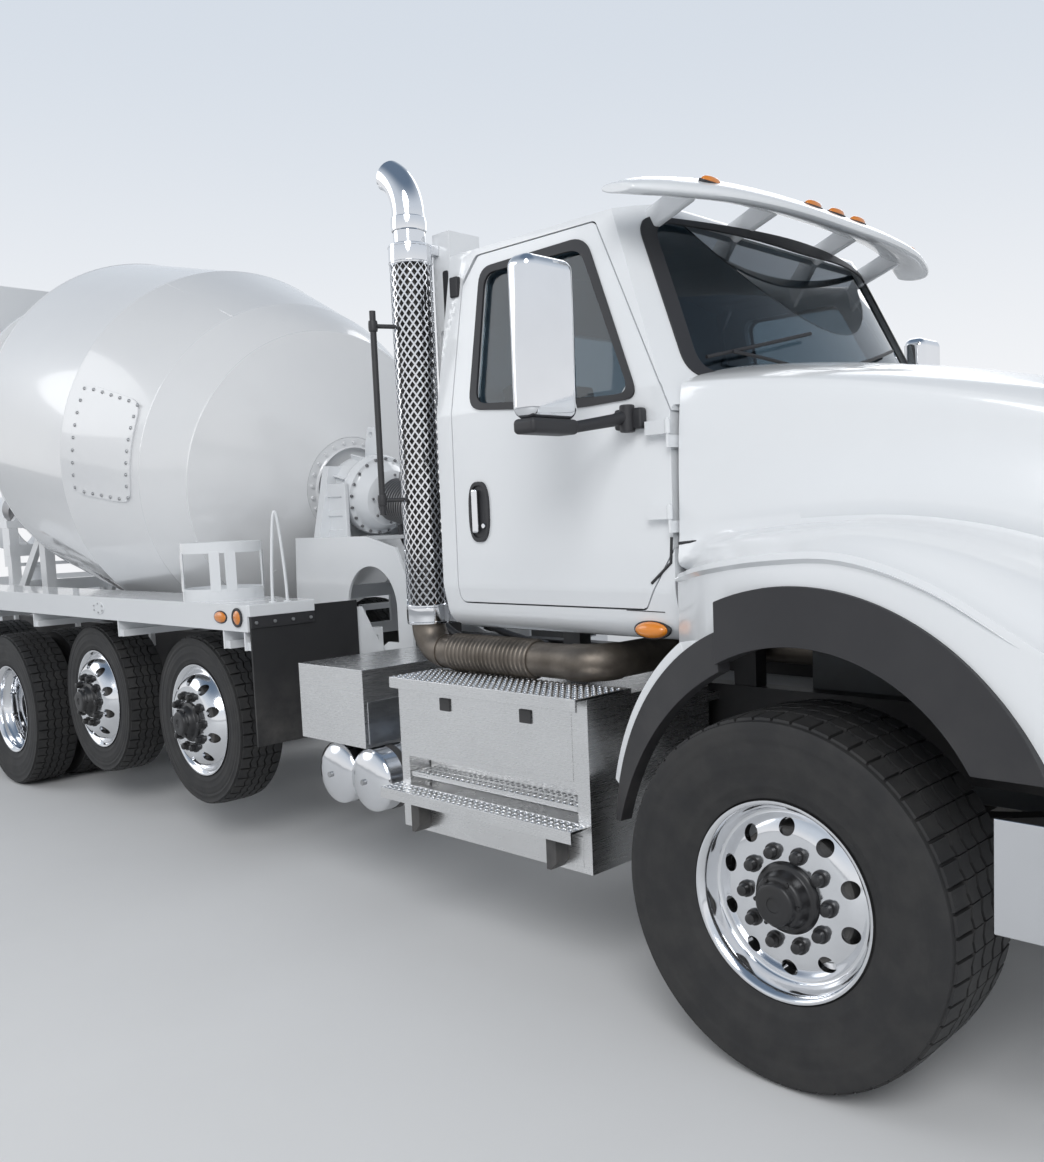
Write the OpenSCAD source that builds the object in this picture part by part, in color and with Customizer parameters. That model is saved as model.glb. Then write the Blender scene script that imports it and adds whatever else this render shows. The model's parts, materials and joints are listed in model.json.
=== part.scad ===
/* [Overall] */
// Front axle to the front face of the bumper
front_reach = 1150; // [1100:10:1300]
// Front axle to the rear end of the folded chute
rear_reach = 9550; // [9450:10:9800]
// Height of the top of the frame rails
frame_top = 990; // [980:5:1010]
// How far the empty vehicle stands up on its springs, added to every height of frame, cab and body
body_lift = 55; // [50:1:60]

/* [Axles] */
// First pusher axle behind the front axle
pusher_1_x = 3735; // [3720:5:3760]
// Second pusher axle behind the front axle
pusher_2_x = 5030; // [5000:5:5060]
// Height by which the pusher axles are raised off the road
pusher_lift = 233; // [225:1:240]
// First drive axle behind the front axle
drive_1_x = 6270; // [6250:5:6300]
// Second drive axle behind the front axle
drive_2_x = 7570; // [7550:5:7600]
// Steering lock to each side is set by this kingpin distance from the centre line
kingpin_y = 780; // [770:5:790]

/* [Tyres] */
// Rolling radius of a front tyre
front_tyre_r = 562; // [550:1:565]
// Section width of a front tyre
front_tyre_w = 422; // [400:2:424]
// Rolling radius of a pusher tyre
pusher_tyre_r = 465; // [455:1:475]
// Section width of a pusher tyre
pusher_tyre_w = 256; // [250:2:270]
// Rolling radius of a drive tyre
drive_tyre_r = 527; // [515:1:530]
// Section width of a drive tyre
drive_tyre_w = 279; // [270:1:284]
// Centre line of a front wheel from the middle of the vehicle
front_wheel_y = 1045; // [1042:1:1050]
// Centre line of a pusher wheel from the middle of the vehicle
pusher_wheel_y = 975; // [960:1:990]
// Centre line of an outer drive wheel from the middle of the vehicle
drive_wheel_y = 1075; // [1065:1:1085]
// Distance between the two wheels of a twin
twin_gap = 340; // [335:1:350]

/* [Cab] */
// Back wall of the cab behind the front axle
cab_back = 1700; // [1680:5:1710]
// Underside of the cab
cab_floor = 1225; // [1210:5:1235]
// Height of the roof on the centre line
cab_roof = 2835; // [2820:5:2860]
// Half width of the cab at the waist
cab_half_w = 1020; // [1015:1:1025]
// Thickness of the cab walls and doors
cab_wall = 60; // [50:1:70]
// Gap round a door
door_gap = 6; // [5:0.5:8]
// Thickness of the glass
glass_t = 8; // [6:1:10]

/* [Hood] */
// Thickness of the hood panels
hood_t = 22; // [16:1:26]
// Front face of the hood ahead of the front axle
hood_nose = 1000; // [990:5:1010]
// Height of the pivot at the foot of the grille
hood_pivot_z = 930; // [925:1:935]

/* [Drum] */
// Front flange of the drum behind the front axle
drum_front_x = 3780; // [3770:5:3800]
// Height of the drum axis at that flange
drum_front_z = 1900; // [1895:5:1940]
// Slope of the drum axis
drum_slope = 12.5; // [12:0.1:13]
// Outside radius of the widest part of the drum
drum_r = 1195; // [1150:5:1195]
// Thickness of the drum shell
drum_wall = 10; // [8:1:14]
// Length of the drum along its axis
drum_l = 4700; // [4650:10:4720]
// Radius of the drum mouth
mouth_r = 520; // [500:5:540]

/* [Chutes] */
// Swing axis of the chutes behind the front axle
chute_x = 8760; // [8740:5:8780]
// Height of the chute tilt pivot
chute_z = 1800; // [1790:5:1810]
// Outside radius of a chute trough
chute_r = 250; // [240:5:260]
// Thickness of a chute
chute_t = 8; // [6:1:10]

/* [Deck] */
// Top of the side decks
deck_top = 1302; // [1295:1:1305]
// Outer edge of the side decks
deck_half_w = 1220; // [1210:5:1230]
// Front end of the side decks behind the front axle
deck_front = 2930; // [2920:5:2940]
// Rear end of the side decks behind the front axle
deck_rear = 8250; // [8230:5:8270]

/* [Hidden] */
$fn = 64;
right = -1;
left = 1;
// Clearance between pieces that are seated on each other, and radial clearance of a running shaft
seat = 0.3;
run = 0.06;
// The frame origin lies under the middle of the vehicle, so everything built from the front axle shifts
mid_x = (front_reach - rear_reach) / 2;

// Frame
rail_y = 430;
rail_h = 260;
rail_flange = 85;
rail_t = 8;
rail_front = 900;
rail_rear = 8600;
frame_bottom = frame_top - rail_h;
// Underside of the rails over the road, and the height of the raised pusher wheels
rail_under = frame_bottom + body_lift;
pusher_z = pusher_tyre_r + pusher_lift;

// Wheels: half width over the rim flanges, and where the disc face lies from the wheel centre
bead_r = 286;
front_rim_hw = 165;
twin_rim_hw = 118;
front_disc = 120;
twin_disc = 168;
hub_hole = 110;
spindle_r = 45;
hand_hole_r = 22;
hand_hole_ring = 221;

// Front axle
axle_z = 470;
knuckle_eye_r = 60;
knuckle_eye_h = 180;
kingpin_r = 25;
arm_back = 190;
tie_rod_r = 20;
arm_x = -arm_back;
arm_y = kingpin_y;

// Hood pivot, arches
hood_pivot_x = hood_nose + 20;
arch_x = 100;
arch_z = 703;
flare_r = 751;
flare_inner_r = 575;
flare_split = -170;
flare_y = 1268;
flare_deep = 100;
flare_yaw = 12;
rear_flare_end = 620;
// Outer and inner edge of the rear flare as circles in X and Z
tail_at = [92, 548];
tail_r = 810;
tail_inner_at = [218, 314];
tail_inner_r = 957;
tail_deep = 70;
// The tails clear the doors and their hinges as the hood tilts
tail_inner_y = 1062;

// Cab
firewall = 500;
screen_lean = 27.6;
screen_r = 2500;
screen_foot_x = -300;
screen_foot_z = 2090;
hinge_x = -497;
hinge_y = cab_half_w + 22;
hinge_zs = [1600, 1880];

// Drum places are given along its axis from the front flange
track_s = 3750;
track_r = 872;
roller_r = 130;
roller_angle = 32;

// Frame, cab and body stand on their springs, while axles and wheels keep their height over the road
module place() { translate([-mid_x, 0, body_lift]) children(); }
module on_road() { translate([-mid_x, 0, 0]) children(); }
module both() { children(); mirror([0, 1, 0]) children(); }
// Turns local +Z outwards from the vehicle at a wheel on one side
module outward(x, y, z, side) { translate([x, side * y, z]) rotate([-90 * side, 0, 0]) children(); }
module box(x0, x1, y0, y1, z0, z1) { translate([x0, y0, z0]) cube([x1 - x0, y1 - y0, z1 - z0]); }
// Draws a profile given in X and Z as a slab from y0 to y1
module slab(y0, y1) { translate([0, y1, 0]) rotate([90, 0, 0]) linear_extrude(y1 - y0) children(); }
// Draws a profile given in Y and Z as a slab from x0 to x1
module wall(x0, x1) { translate([x0, 0, 0]) rotate([90, 0, 90]) linear_extrude(x1 - x0) children(); }
module tube(r_out, r_in, h) { difference() { cylinder(r = r_out, h = h); translate([0, 0, -1]) cylinder(r = r_in, h = h + 2); } }
// A bar of round section between two points
module rod(a, b, r) {
    v = b - a;
    translate(a) rotate([0, acos(v[2] / norm(v)), atan2(v[1], v[0])]) cylinder(r = r, h = norm(v), $fn = 24);
}
module rounded(r) { offset(r) offset(-r) children(); }

// Tyres and wheels, drawn with local +Z outwards from the vehicle
function flank(r0, r1, a0, a1, w) = [for (i = [0 : 6]) let (u = i / 6)
    [r0 + (r1 - r0) * u, a0 + (a1 - a0) * u + (w - max(a0, a1)) * sin(180 * u) * 1.0]];
module tyre_body(r, w, hw) {
    bead_a = hw - 14.4;
    tread_a = w / 2 * 0.86;
    side = flank(bead_r + 24, r - 30, hw - 3, w / 2 * 0.95, w / 2);
    half = concat([[bead_r + seat, bead_a], [bead_r + 20, bead_a]], side, [[r - 8, tread_a + 8], [r, tread_a]]);
    down = [for (i = [len(half) - 1 : -1 : 0]) [half[i][0], -half[i][1]]];
    difference() {
        rotate_extrude($fn = 96) polygon(concat(half, down));
        for (g = [-0.56, -0.19, 0.19, 0.56]) translate([0, 0, g * tread_a])
            rotate_extrude($fn = 96) polygon([[r - 14, -5], [r + 1, -8], [r + 1, 8], [r - 14, 5]]);
    }
}
module barrel(hw) {
    rotate_extrude($fn = 96) polygon([[305, hw], [305, hw - 14], [bead_r, hw - 14], [284, hw - 55],
        [258, hw - 82], [258, 110 - hw], [284, 70 - hw], [bead_r, 14 - hw], [305, 14 - hw], [305, -hw],
        [293, -hw], [274, 20 - hw], [272, 74 - hw], [246, 112 - hw], [246, hw - 84], [272, hw - 58],
        [274, hw - 20], [293, hw]]);
}
// The dished disc: face at d, joined to the barrel at height a0 and radius ra, bulging towards s
module disc(d, a0, ra, s) {
    difference() {
        rotate_extrude($fn = 96) polygon([[hub_hole - 10, d], [192, d], [214, d - s * 8], [234, d - s * 26], [ra, a0],
            [ra, a0 - s * 20], [ra - 14, a0 - s * 20], [218, d - s * 44], [204, d - s * 30], [186, d - s * 22],
            [hub_hole - 10, d - s * 22]]);
        for (i = [0 : 9]) rotate([0, 0, 36 * i + 18]) translate([hand_hole_ring, 0, d - 60])
            cylinder(r = hand_hole_r, h = 120, $fn = 24);
    }
}
module hub(d, nose, back) {
    difference() {
        union() {
            translate([0, 0, d - back]) cylinder(r = 96, h = back);
            translate([0, 0, d - 24]) cylinder(r = hub_hole - 2, h = 30);
            translate([0, 0, d]) cylinder(r = 88, h = nose - 20);
            translate([0, 0, d]) cylinder(r = 66, h = nose);
        }
        translate([0, 0, d - back - 1]) cylinder(r = spindle_r + run, h = back + 22);
    }
}
module brake_drum(d, deep) {
    translate([0, 0, d - 34]) tube(212, 90, 12);
    translate([0, 0, d - 34 - deep]) tube(212, 198, deep);
}
module steer_wheel() {
    barrel(front_rim_hw);
    disc(front_disc, 62, 252, 1);
    hub(front_disc, 78, 150);
    brake_drum(front_disc, 150);
}
module pusher_wheel() {
    barrel(twin_rim_hw);
    disc(twin_disc, 86, 279, 1);
    hub(twin_disc, 96, 180);
    brake_drum(twin_disc, 170);
}
module drive_wheel() {
    barrel(twin_rim_hw);
    disc(-twin_disc, -88, 276, -1);
    translate([0, 0, -twin_gap]) {
        barrel(twin_rim_hw);
        disc(twin_gap - twin_disc - 4, 88, 276, 1);
    }
    difference() {
        hub(-twin_disc + 22, 130, 200);
        translate([0, 0, 20 - twin_disc]) cylinder(r = 20, h = 20);
    }
    brake_drum(-twin_disc, 150);
}
module front_tyre(side) {
    on_road() color("#202022") outward(0, front_wheel_y, front_tyre_r, side)
        tyre_body(front_tyre_r, front_tyre_w, front_rim_hw);
}
module front_wheel(side) {
    on_road() color("#c8cacd") outward(0, front_wheel_y, front_tyre_r, side) steer_wheel();
}
module pusher_tyre(x, side) {
    on_road() color("#202022") outward(-x, pusher_wheel_y, pusher_z, side)
        tyre_body(pusher_tyre_r, pusher_tyre_w, twin_rim_hw);
}
module pusher_rim(x, side) {
    on_road() color("#c8cacd") outward(-x, pusher_wheel_y, pusher_z, side) pusher_wheel();
}
module drive_tyre(x, side) {
    on_road() color("#202022") outward(-x, drive_wheel_y, drive_tyre_r, side) {
        tyre_body(drive_tyre_r, drive_tyre_w, twin_rim_hw);
        translate([0, 0, -twin_gap]) tyre_body(drive_tyre_r, drive_tyre_w, twin_rim_hw);
    }
}
module drive_rim(x, side) {
    on_road() color("#c8cacd") outward(-x, drive_wheel_y, drive_tyre_r, side) drive_wheel();
}

// Chassis
module rail() {
    difference() {
        box(-rail_rear, rail_front, rail_y - rail_flange, rail_y, frame_bottom, frame_top);
        box(-rail_rear - 1, rail_front + 1, rail_y - rail_flange - 1, rail_y - rail_t,
            frame_bottom + rail_t, frame_top - rail_t);
    }
}
cab_mount_x = [-1560, -640];
cross_x = [-760, 1480, 2650, 3420, 4480, 5720, 6970, 8540];
tow_z = 540;
tow_r = 22;
tow_plate = 25;
module tow_lug(x) {
    difference() {
        slab(rail_y - 60 - tow_plate, rail_y - 60) difference() {
            union() {
                translate([x - 55, tow_z]) square([110, frame_bottom - tow_z + 20]);
                translate([x, tow_z]) circle(r = 55);
            }
        }
        translate([x, 0, tow_z]) rotate([-90, 0, 0]) cylinder(r = tow_r, h = rail_y);
    }
}
module frame_rails() {
    place() color("#2a2b2d") {
        both() rail();
        for (x = cross_x) box(-x - 60, -x + 60, -rail_y + rail_t / 2, rail_y - rail_t / 2,
            frame_bottom + 40, frame_top - 60);
        // Hood pivot brackets with their pins, and the cab mounts
        both() slab(rail_y - 94, rail_y - 74) {
            polygon([[800, 870], [800, frame_top - 4], [880, frame_top - 4], [940, hood_pivot_z + 8],
                [hood_pivot_x, hood_pivot_z + 8], [hood_pivot_x, hood_pivot_z - 20], [900, 870]]);
            translate([hood_pivot_x, hood_pivot_z]) circle(r = 22);
        }
        both() translate([hood_pivot_x, rail_y - 134, hood_pivot_z]) rotate([-90, 0, 0]) cylinder(r = 15, h = 50);
        both() for (x = cab_mount_x) box(x - 50, x + 50, rail_y - 80, rail_y - 8, frame_top - 1, cab_floor - seat);
        both() tow_lug(rail_front - 60);
        both() tow_lug(60 - rail_rear);
    }
}

spring_half = 700;
spring_drop = 110;
module leaf_pack() {
    arc_r = (spring_half * spring_half + spring_drop * spring_drop) / (2 * spring_drop);
    eye_z = rail_under - 30;
    for (i = [0 : 2]) slab(rail_y - 90, rail_y) intersection() {
        translate([0, eye_z - spring_drop + arc_r - i * 19]) difference() {
            circle(r = arc_r, $fn = 180);
            circle(r = arc_r - 20, $fn = 180);
        }
        translate([-spring_half + i * 170, 0]) square([2 * spring_half - i * 340, rail_under - 2]);
    }
}
module axle_beam_half() {
    // Beam drops between the springs and rises to the kingpin eye
    eye_z = front_tyre_r - knuckle_eye_h / 2;
    difference() {
        union() {
            wall(-55, 55) polygon([[0, axle_z - 60], [rail_y + 20, axle_z - 60], [kingpin_y - 110, eye_z + 2],
                [kingpin_y - 20, eye_z + 2], [kingpin_y - 20, axle_z + 90], [kingpin_y - 110, axle_z + 90],
                [rail_y - 20, axle_z + 45], [0, axle_z + 45]]);
            translate([0, kingpin_y, eye_z]) cylinder(r = knuckle_eye_r, h = knuckle_eye_h);
        }
        translate([0, kingpin_y, eye_z - 1]) cylinder(r = kingpin_r + run, h = knuckle_eye_h + 2);
    }
    // Spring seat between beam and leaves
    box(-90, 90, rail_y - 95, rail_y + 5, axle_z + 40, rail_under - 30 - spring_drop - 26);
}
module front_axle() {
    on_road() color("#303234") {
        both() axle_beam_half();
        both() leaf_pack();
        both() for (s = [-1, 1]) box(s * spring_half - 45, s * spring_half + 45, rail_y - 90, rail_y,
            rail_under - 60, rail_under - seat);
    }
}
// Steered knuckle: a fork round the eye of the beam, the kingpin, a spindle and two arms
module knuckle(side) {
    fork_h = knuckle_eye_h / 2 + 6;
    on_road() color("#3a3c3e") mirror([0, side == right ? 1 : 0, 0]) {
        translate([0, kingpin_y, front_tyre_r - fork_h - 34]) cylinder(r = kingpin_r, h = 2 * fork_h + 68);
        for (s = [-1, 1]) translate([0, kingpin_y, front_tyre_r + s * (fork_h + 17) - 17]) hull() {
            cylinder(r = 52, h = 34, $fn = 32);
            translate([0, 92, 0]) cylinder(r = 44, h = 34, $fn = 32);
        }
        translate([0, kingpin_y + 66, front_tyre_r]) rotate([-90, 0, 0]) cylinder(r = 62, h = 32);
        box(-44, 44, kingpin_y + 66, kingpin_y + 98, front_tyre_r - fork_h - 34, front_tyre_r + fork_h + 34);
        translate([0, kingpin_y + 66, front_tyre_r]) rotate([-90, 0, 0])
            cylinder(r = spindle_r, h = front_wheel_y + front_disc - kingpin_y - 66 + 10);
        // Arm back to the tie rod
        arm_z = front_tyre_r - fork_h - 34;
        hull() {
            translate([0, kingpin_y, arm_z]) cylinder(r = 40, h = 30, $fn = 32);
            translate([arm_x, arm_y, arm_z]) cylinder(r = 26, h = 30, $fn = 32);
        }
        translate([arm_x, arm_y, arm_z - 60]) cylinder(r = 12, h = 62, $fn = 32);
    }
}
tie_z = front_tyre_r - knuckle_eye_h / 2 - 6 - 34 - 34;
module tie_rod() {
    on_road() color("#4a4c4e") {
        both() translate([arm_x, arm_y, tie_z - 24]) tube(26, 12 + run, 48);
        translate([arm_x, -arm_y + 24, tie_z]) rotate([-90, 0, 0]) cylinder(r = tie_rod_r, h = 2 * arm_y - 48);
    }
}
module engine_block() {
    place() color("#4b5560") {
        box(-400, 520, -330, 330, 640, 1740);
        box(-1330, -398, -215, 215, 640, 930);
        box(660, 800, -420, 420, frame_top + seat, 1800);
        both() for (x = [-250, 300]) box(x, x + 70, 320, rail_y - rail_t - seat, 770, 840);
    }
}
bumper_h = 300;
bumper_z = 580;
bumper_side = 650;
module bumper_line(g) {
    offset(delta = -g) polygon([[0, -1240], [990, -1240], [front_reach - 40, -900], [front_reach, -640],
        [front_reach, 640], [front_reach - 40, 900], [990, 1240], [0, 1240]]);
}
module front_bumper() {
    place() color("#b9bcc0") {
        difference() {
            translate([0, 0, bumper_z]) linear_extrude(bumper_h) bumper_line(0);
            translate([0, 0, bumper_z - 1]) linear_extrude(bumper_h + 2) bumper_line(14);
            box(-1, bumper_side, -1300, 1300, bumper_z - 1, bumper_z + bumper_h + 1);
        }
        both() box(rail_front - 70, front_reach - 10, rail_y - 58, rail_y - rail_t - seat, frame_bottom + 20,
            bumper_z + bumper_h - 20);
    }
}

// Cab
// Side view of the cab in X and Z
module cab_side() {
    rounded(60) polygon([[-cab_back, cab_floor], [-firewall, cab_floor], [-firewall, screen_foot_z - 70],
        [-firewall + 230, screen_foot_z - 40], [-firewall + 230, screen_foot_z + 40], [-760, cab_roof - 60],
        [-1000, cab_roof], [-1450, cab_roof - 5], [-cab_back, cab_roof - 60]]);
}
// Front view of the cab in Y and Z
module cab_front() {
    roof_arc = 4200;
    intersection() {
        rounded(110) polygon([for (s = [1, -1]) each (s > 0
            ? [[-980, cab_floor], [-cab_half_w, cab_floor + 180], [-cab_half_w + 6, 2090], [-905, 2720], [-860, cab_roof + 60]]
            : [[860, cab_roof + 60], [905, 2720], [cab_half_w - 6, 2090], [cab_half_w, cab_floor + 180], [980, cab_floor]])]);
        translate([0, cab_roof - roof_arc]) circle(r = roof_arc, $fn = 360);
    }
}
module screen_solid(r) {
    translate([screen_foot_x - screen_r / cos(screen_lean), 0, screen_foot_z]) rotate([0, -screen_lean, 0])
        translate([0, 0, -3000]) cylinder(r = r, h = 6000, $fn = 180);
}
module cab_form(g) {
    intersection() {
        slab(-1200, 1200) offset(delta = -g) cab_side();
        wall(-cab_back - 10, 0) offset(delta = -g) cab_front();
        screen_solid(screen_r - g);
    }
}
// Door outline in X and Z, and the window in it
module door_line(corner) {
    polygon([[-1605, 1340], [-1605, 2610 - corner], [corner - 1540, 2705], [-905, 2705], [-545, 2085],
        [-505, 2000], [-505, 1545], [-640, 1340]]);
}
module door_window_line() {
    rounded(50) polygon([[-1470, 2110], [-1480, 2632], [-955, 2632], [-660, 2070], [-900, 2070]]);
}
// The door is cut slanted at its back edge, so that it clears the pillar as it swings
module door_zone(g) {
    intersection() {
        difference() {
            slab(-1300, -700) offset(delta = g) rounded(30) door_line(g > 0 ? 0 : 14);
            wall(-3000, 1000) offset(delta = -cab_wall - g) cab_front();
        }
        translate([-1605 - g, -1030, 0]) rotate([0, 0, -70]) translate([-600, 0, 1000]) cube([1500, 2000, 2000]);
    }
}
module windscreen_line(g) {
    offset(delta = g) rounded(60) polygon([[-900, 2118], [-815, 2715], [815, 2715], [900, 2118]]);
}
module back_window_line(g) {
    offset(delta = g) rounded(60) polygon([[-620, 1950], [-560, 2480], [560, 2480], [620, 1950]]);
}
module windscreen_zone(g) { wall(-950, 0) windscreen_line(g); }
module back_window_zone(g) { wall(-cab_back - 20, -cab_back + 200) back_window_line(g); }
module cab_shell() {
    place() color("#eceeef") difference() {
        cab_form(0);
        cab_form(cab_wall);
        both() door_zone(door_gap);
        windscreen_zone(0);
        back_window_zone(0);
        // Tunnel over the gearbox
        box(-1350, -380, -260, 260, cab_floor - 1, cab_floor + 10);
    }
    place() color("#eceeef") both() for (z = hinge_zs) {
        box(-firewall - 1, -firewall + 9, 930, hinge_y + 4, z, z + 40);
        translate([hinge_x, hinge_y, z]) cylinder(r = 6, h = 96, $fn = 24);
    }
}
module pane(zone_depth) {
    intersection() {
        difference() {
            cab_form(16);
            cab_form(16 + glass_t);
        }
        children();
    }
}
module cab_glass() {
    place() color("#27323a") {
        pane() windscreen_zone(-seat);
        pane() back_window_zone(-seat);
    }
}
module door(side) {
    place() color("#f0f2f3") mirror([0, side == left ? 1 : 0, 0]) {
        intersection() {
            difference() {
                cab_form(0);
                slab(-1300, -600) door_window_line();
            }
            door_zone(0);
        }
        // Hinge straps round the pins of the cab
        difference() {
            for (z = hinge_zs) translate([0, 0, z + 45]) {
                box(-590, hinge_x, -hinge_y - 4, -cab_half_w + 12, 0, 45);
                translate([hinge_x, -hinge_y, 0]) cylinder(r = 10, h = 45, $fn = 32);
            }
            cab_form(cab_wall);
            for (z = hinge_zs) translate([hinge_x, -hinge_y, z]) cylinder(r = 6 + run, h = 120, $fn = 24);
            box(-firewall - 5, 0, -hinge_y + 10, 0, 1500, 2000);
        }
    }
}
module door_glass(side) {
    place() color("#27323a") mirror([0, side == left ? 1 : 0, 0])
        pane() slab(-1300, -600) offset(delta = -seat) door_window_line();
}
mirror_x = -742;
mirror_y = 1355;
mirror_z0 = 1975;
mirror_h = 510;
mirror_w = 225;
mirror_d = 110;
module mirror_unit(side) {
    place() mirror([0, side == left ? 1 : 0, 0]) {
        color("#d8dadc") translate([mirror_x, -mirror_y, mirror_z0]) linear_extrude(mirror_h) difference() {
            rounded(40) square([mirror_d, mirror_w], center = true);
            translate([-mirror_d / 2 - 1, -mirror_w / 2 + 15]) square([16, mirror_w - 30]);
        }
        color("#202123") {
            translate([mirror_x, -mirror_y, mirror_z0 - 45]) linear_extrude(45.5) rounded(35)
                square([mirror_d - 10, mirror_w - 10], center = true);
            rod([mirror_x, -mirror_y + 30, mirror_z0 - 22], [-662, -cab_half_w - 30, 2000], 20);
            translate([-660, -cab_half_w - 30, 1940]) cylinder(r = 26, h = 92);
            difference() {
                box(-720, -600, -cab_half_w - 34, -cab_half_w + 60, 1950, 2020);
                cab_form(-seat);
            }
        }
    }
}
// Seats as rounded blocks, the dashboard and the steering wheel
module seat_unit(y) {
    translate([-1240, y, 0]) {
        box(-230, 230, -235, 235, cab_floor + cab_wall + seat, cab_floor + 260);
        translate([0, 0, cab_floor + 260]) linear_extrude(120) rounded(60) square([500, 500], center = true);
        translate([-190, 0, cab_floor + 380]) rotate([0, -12, 0]) translate([0, 0, -20]) linear_extrude(640) rounded(50)
            square([130, 480], center = true);
    }
}
module cab_interior() {
    place() color("#33363a") {
        for (y = [-500, 500]) seat_unit(y);
        slab(-880, 880) rounded(40) polygon([[-firewall - cab_wall - seat, 1560],
            [-firewall - cab_wall - seat, 2010], [-700, 2010], [-830, 1920], [-830, 1560]]);
        translate([-830, 500, 1900]) rotate([0, -62, 0]) {
            translate([0, 0, -60]) cylinder(r = 35, h = 220);
            translate([0, 0, 160]) rotate_extrude() translate([215, 0]) circle(r = 17, $fn = 24);
            translate([0, 0, 145]) cylinder(r = 60, h = 30);
            for (a = [0, 120, 240]) rotate([0, 0, a + 60]) translate([40, -18, 150]) cube([170, 36, 18]);
        }
    }
}
// Visor sections. Columns: distance from the centre, front edge, back edge, height, thickness, rise to the back
visor_rows = [
    [0, -388, -635, 2788, 72, 100],
    [350, -393, -640, 2786, 72, 98],
    [650, -425, -660, 2777, 70, 90],
    [880, -490, -695, 2760, 64, 70],
    [1000, -545, -720, 2746, 54, 45],
    [1065, -595, -730, 2737, 34, 20]];
// Struts of the visor, and the lamps on it as y, x and z of their feet
visor_struts = [[300, -520], [760, -560]];
visor_lamps = [[-740, -515, 2755], [-170, -456, 2766], [0, -454, 2767], [170, -456, 2766], [740, -515, 2755]];
module visor_loft() {
    side = [for (i = [len(visor_rows) - 1 : -1 : 1]) let (v = visor_rows[i]) concat([-v[0]], [for (k = [1 : 5]) v[k]])];
    rows = concat(side, visor_rows);
    n = 14;
    pts = [for (v = rows) for (k = [0 : n - 1]) let (a = 360 * k / n)
        [(v[1] + v[2]) / 2 + (v[1] - v[2]) / 2 * cos(a), v[0], v[3] - v[5] / 2 * cos(a) + v[4] / 2 * sin(a)]];
    skin = [for (i = [0 : len(rows) - 2]) for (k = [0 : n - 1])
        each [[i * n + k, (i + 1) * n + (k + 1) % n, (i + 1) * n + k], [i * n + k, i * n + (k + 1) % n, (i + 1) * n + (k + 1) % n]]];
    caps = [[for (k = [n - 1 : -1 : 0]) k], [for (k = [0 : n - 1]) (len(rows) - 1) * n + k]];
    polyhedron(points = pts, faces = concat(skin, caps), convexity = 4);
}
module sun_visor() {
    place() color("#f0f2f3") difference() {
        union() {
            visor_loft();
            both() for (v = visor_struts) translate([v[1], v[0], -v[0] * v[0] / 20000]) slab(-15, 15)
                polygon([[0, 2785], [-20, 2762], [-260, 2680], [-340, 2730], [-100, 2822]]);
        }
        cab_form(-seat);
    }
}
module lamp_oval(l, h, d) { rotate([90, 0, 0]) linear_extrude(d) rounded(h / 2 - 1) square([l, h], center = true); }
module marker_lamps() {
    place() color("#e07a10") {
        // Five on the visor, which follow its leading edge
        difference() {
            for (p = visor_lamps) translate([p[1], p[0], p[2]]) cylinder(r1 = 32, r2 = 26, h = 42);
            visor_loft();
            translate([0, 0, seat]) visor_loft();
        }
        difference() {
            both() translate([-640, 940, 1268]) mirror([0, 1, 0]) lamp_oval(140, 56, 58);
            cab_form(-seat);
        }
        both() translate([-deck_front - 60, deck_half_w + seat, deck_top - 75]) mirror([0, 1, 0]) lamp_oval(100, 44, 16);
    }
    place() color("#b01818") both() for (y = [850, 1000]) translate([-deck_rear - seat, y, deck_top - 66])
        rotate([0, -90, 0]) cylinder(r = 52, h = 26);
}

// Exhaust
stack_x = -1835;
stack_y = 1000;
stack_r = 62;
guard_r = 86;
column_x0 = -cab_back - 105;
column_y = -905;
guard_z0 = 1290;
guard_z1 = 2740;
stack_top = 2910;
module exhaust_stack() {
    bend_r = 200;
    place() color("#d4d6d8") {
        translate([stack_x, -stack_y, 1240]) tube(stack_r + 10, stack_r + 4, 60);
        translate([stack_x, -stack_y, 1240]) tube(stack_r + 4, stack_r, stack_top - 1240);
        translate([stack_x, -stack_y, guard_z0]) tube(guard_r, guard_r - 5, guard_z1 - guard_z0);
        for (z = [guard_z0 - 50, guard_z1]) translate([stack_x, -stack_y, z]) tube(guard_r + 1, stack_r + 2, 50);
        translate([stack_x, -stack_y, stack_top - 60]) tube(stack_r + 10, stack_r + 2, 90);
        // The tip curves back over the deck
        translate([stack_x - bend_r, -stack_y, stack_top]) rotate([90, 0, 0]) rotate_extrude(angle = 62)
            translate([bend_r, 0]) difference() {
                circle(r = stack_r + 4, $fn = 48);
                circle(r = stack_r, $fn = 48);
            }
        for (z = [guard_z0 - 50, guard_z1 + 10]) box(stack_x + 30, stack_x + 70, -stack_y + 60, column_y - seat, z, z + 40);
        // Grab rod on its two brackets
        rod([stack_x - 60, -stack_y - 160, 1700], [stack_x - 60, -stack_y - 160, 2520], 13);
        for (z = [1760, 2460]) rod([stack_x - 60, -stack_y - 160, z], [stack_x - 20, -stack_y - guard_r + 4, z], 10);
    }
}
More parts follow.
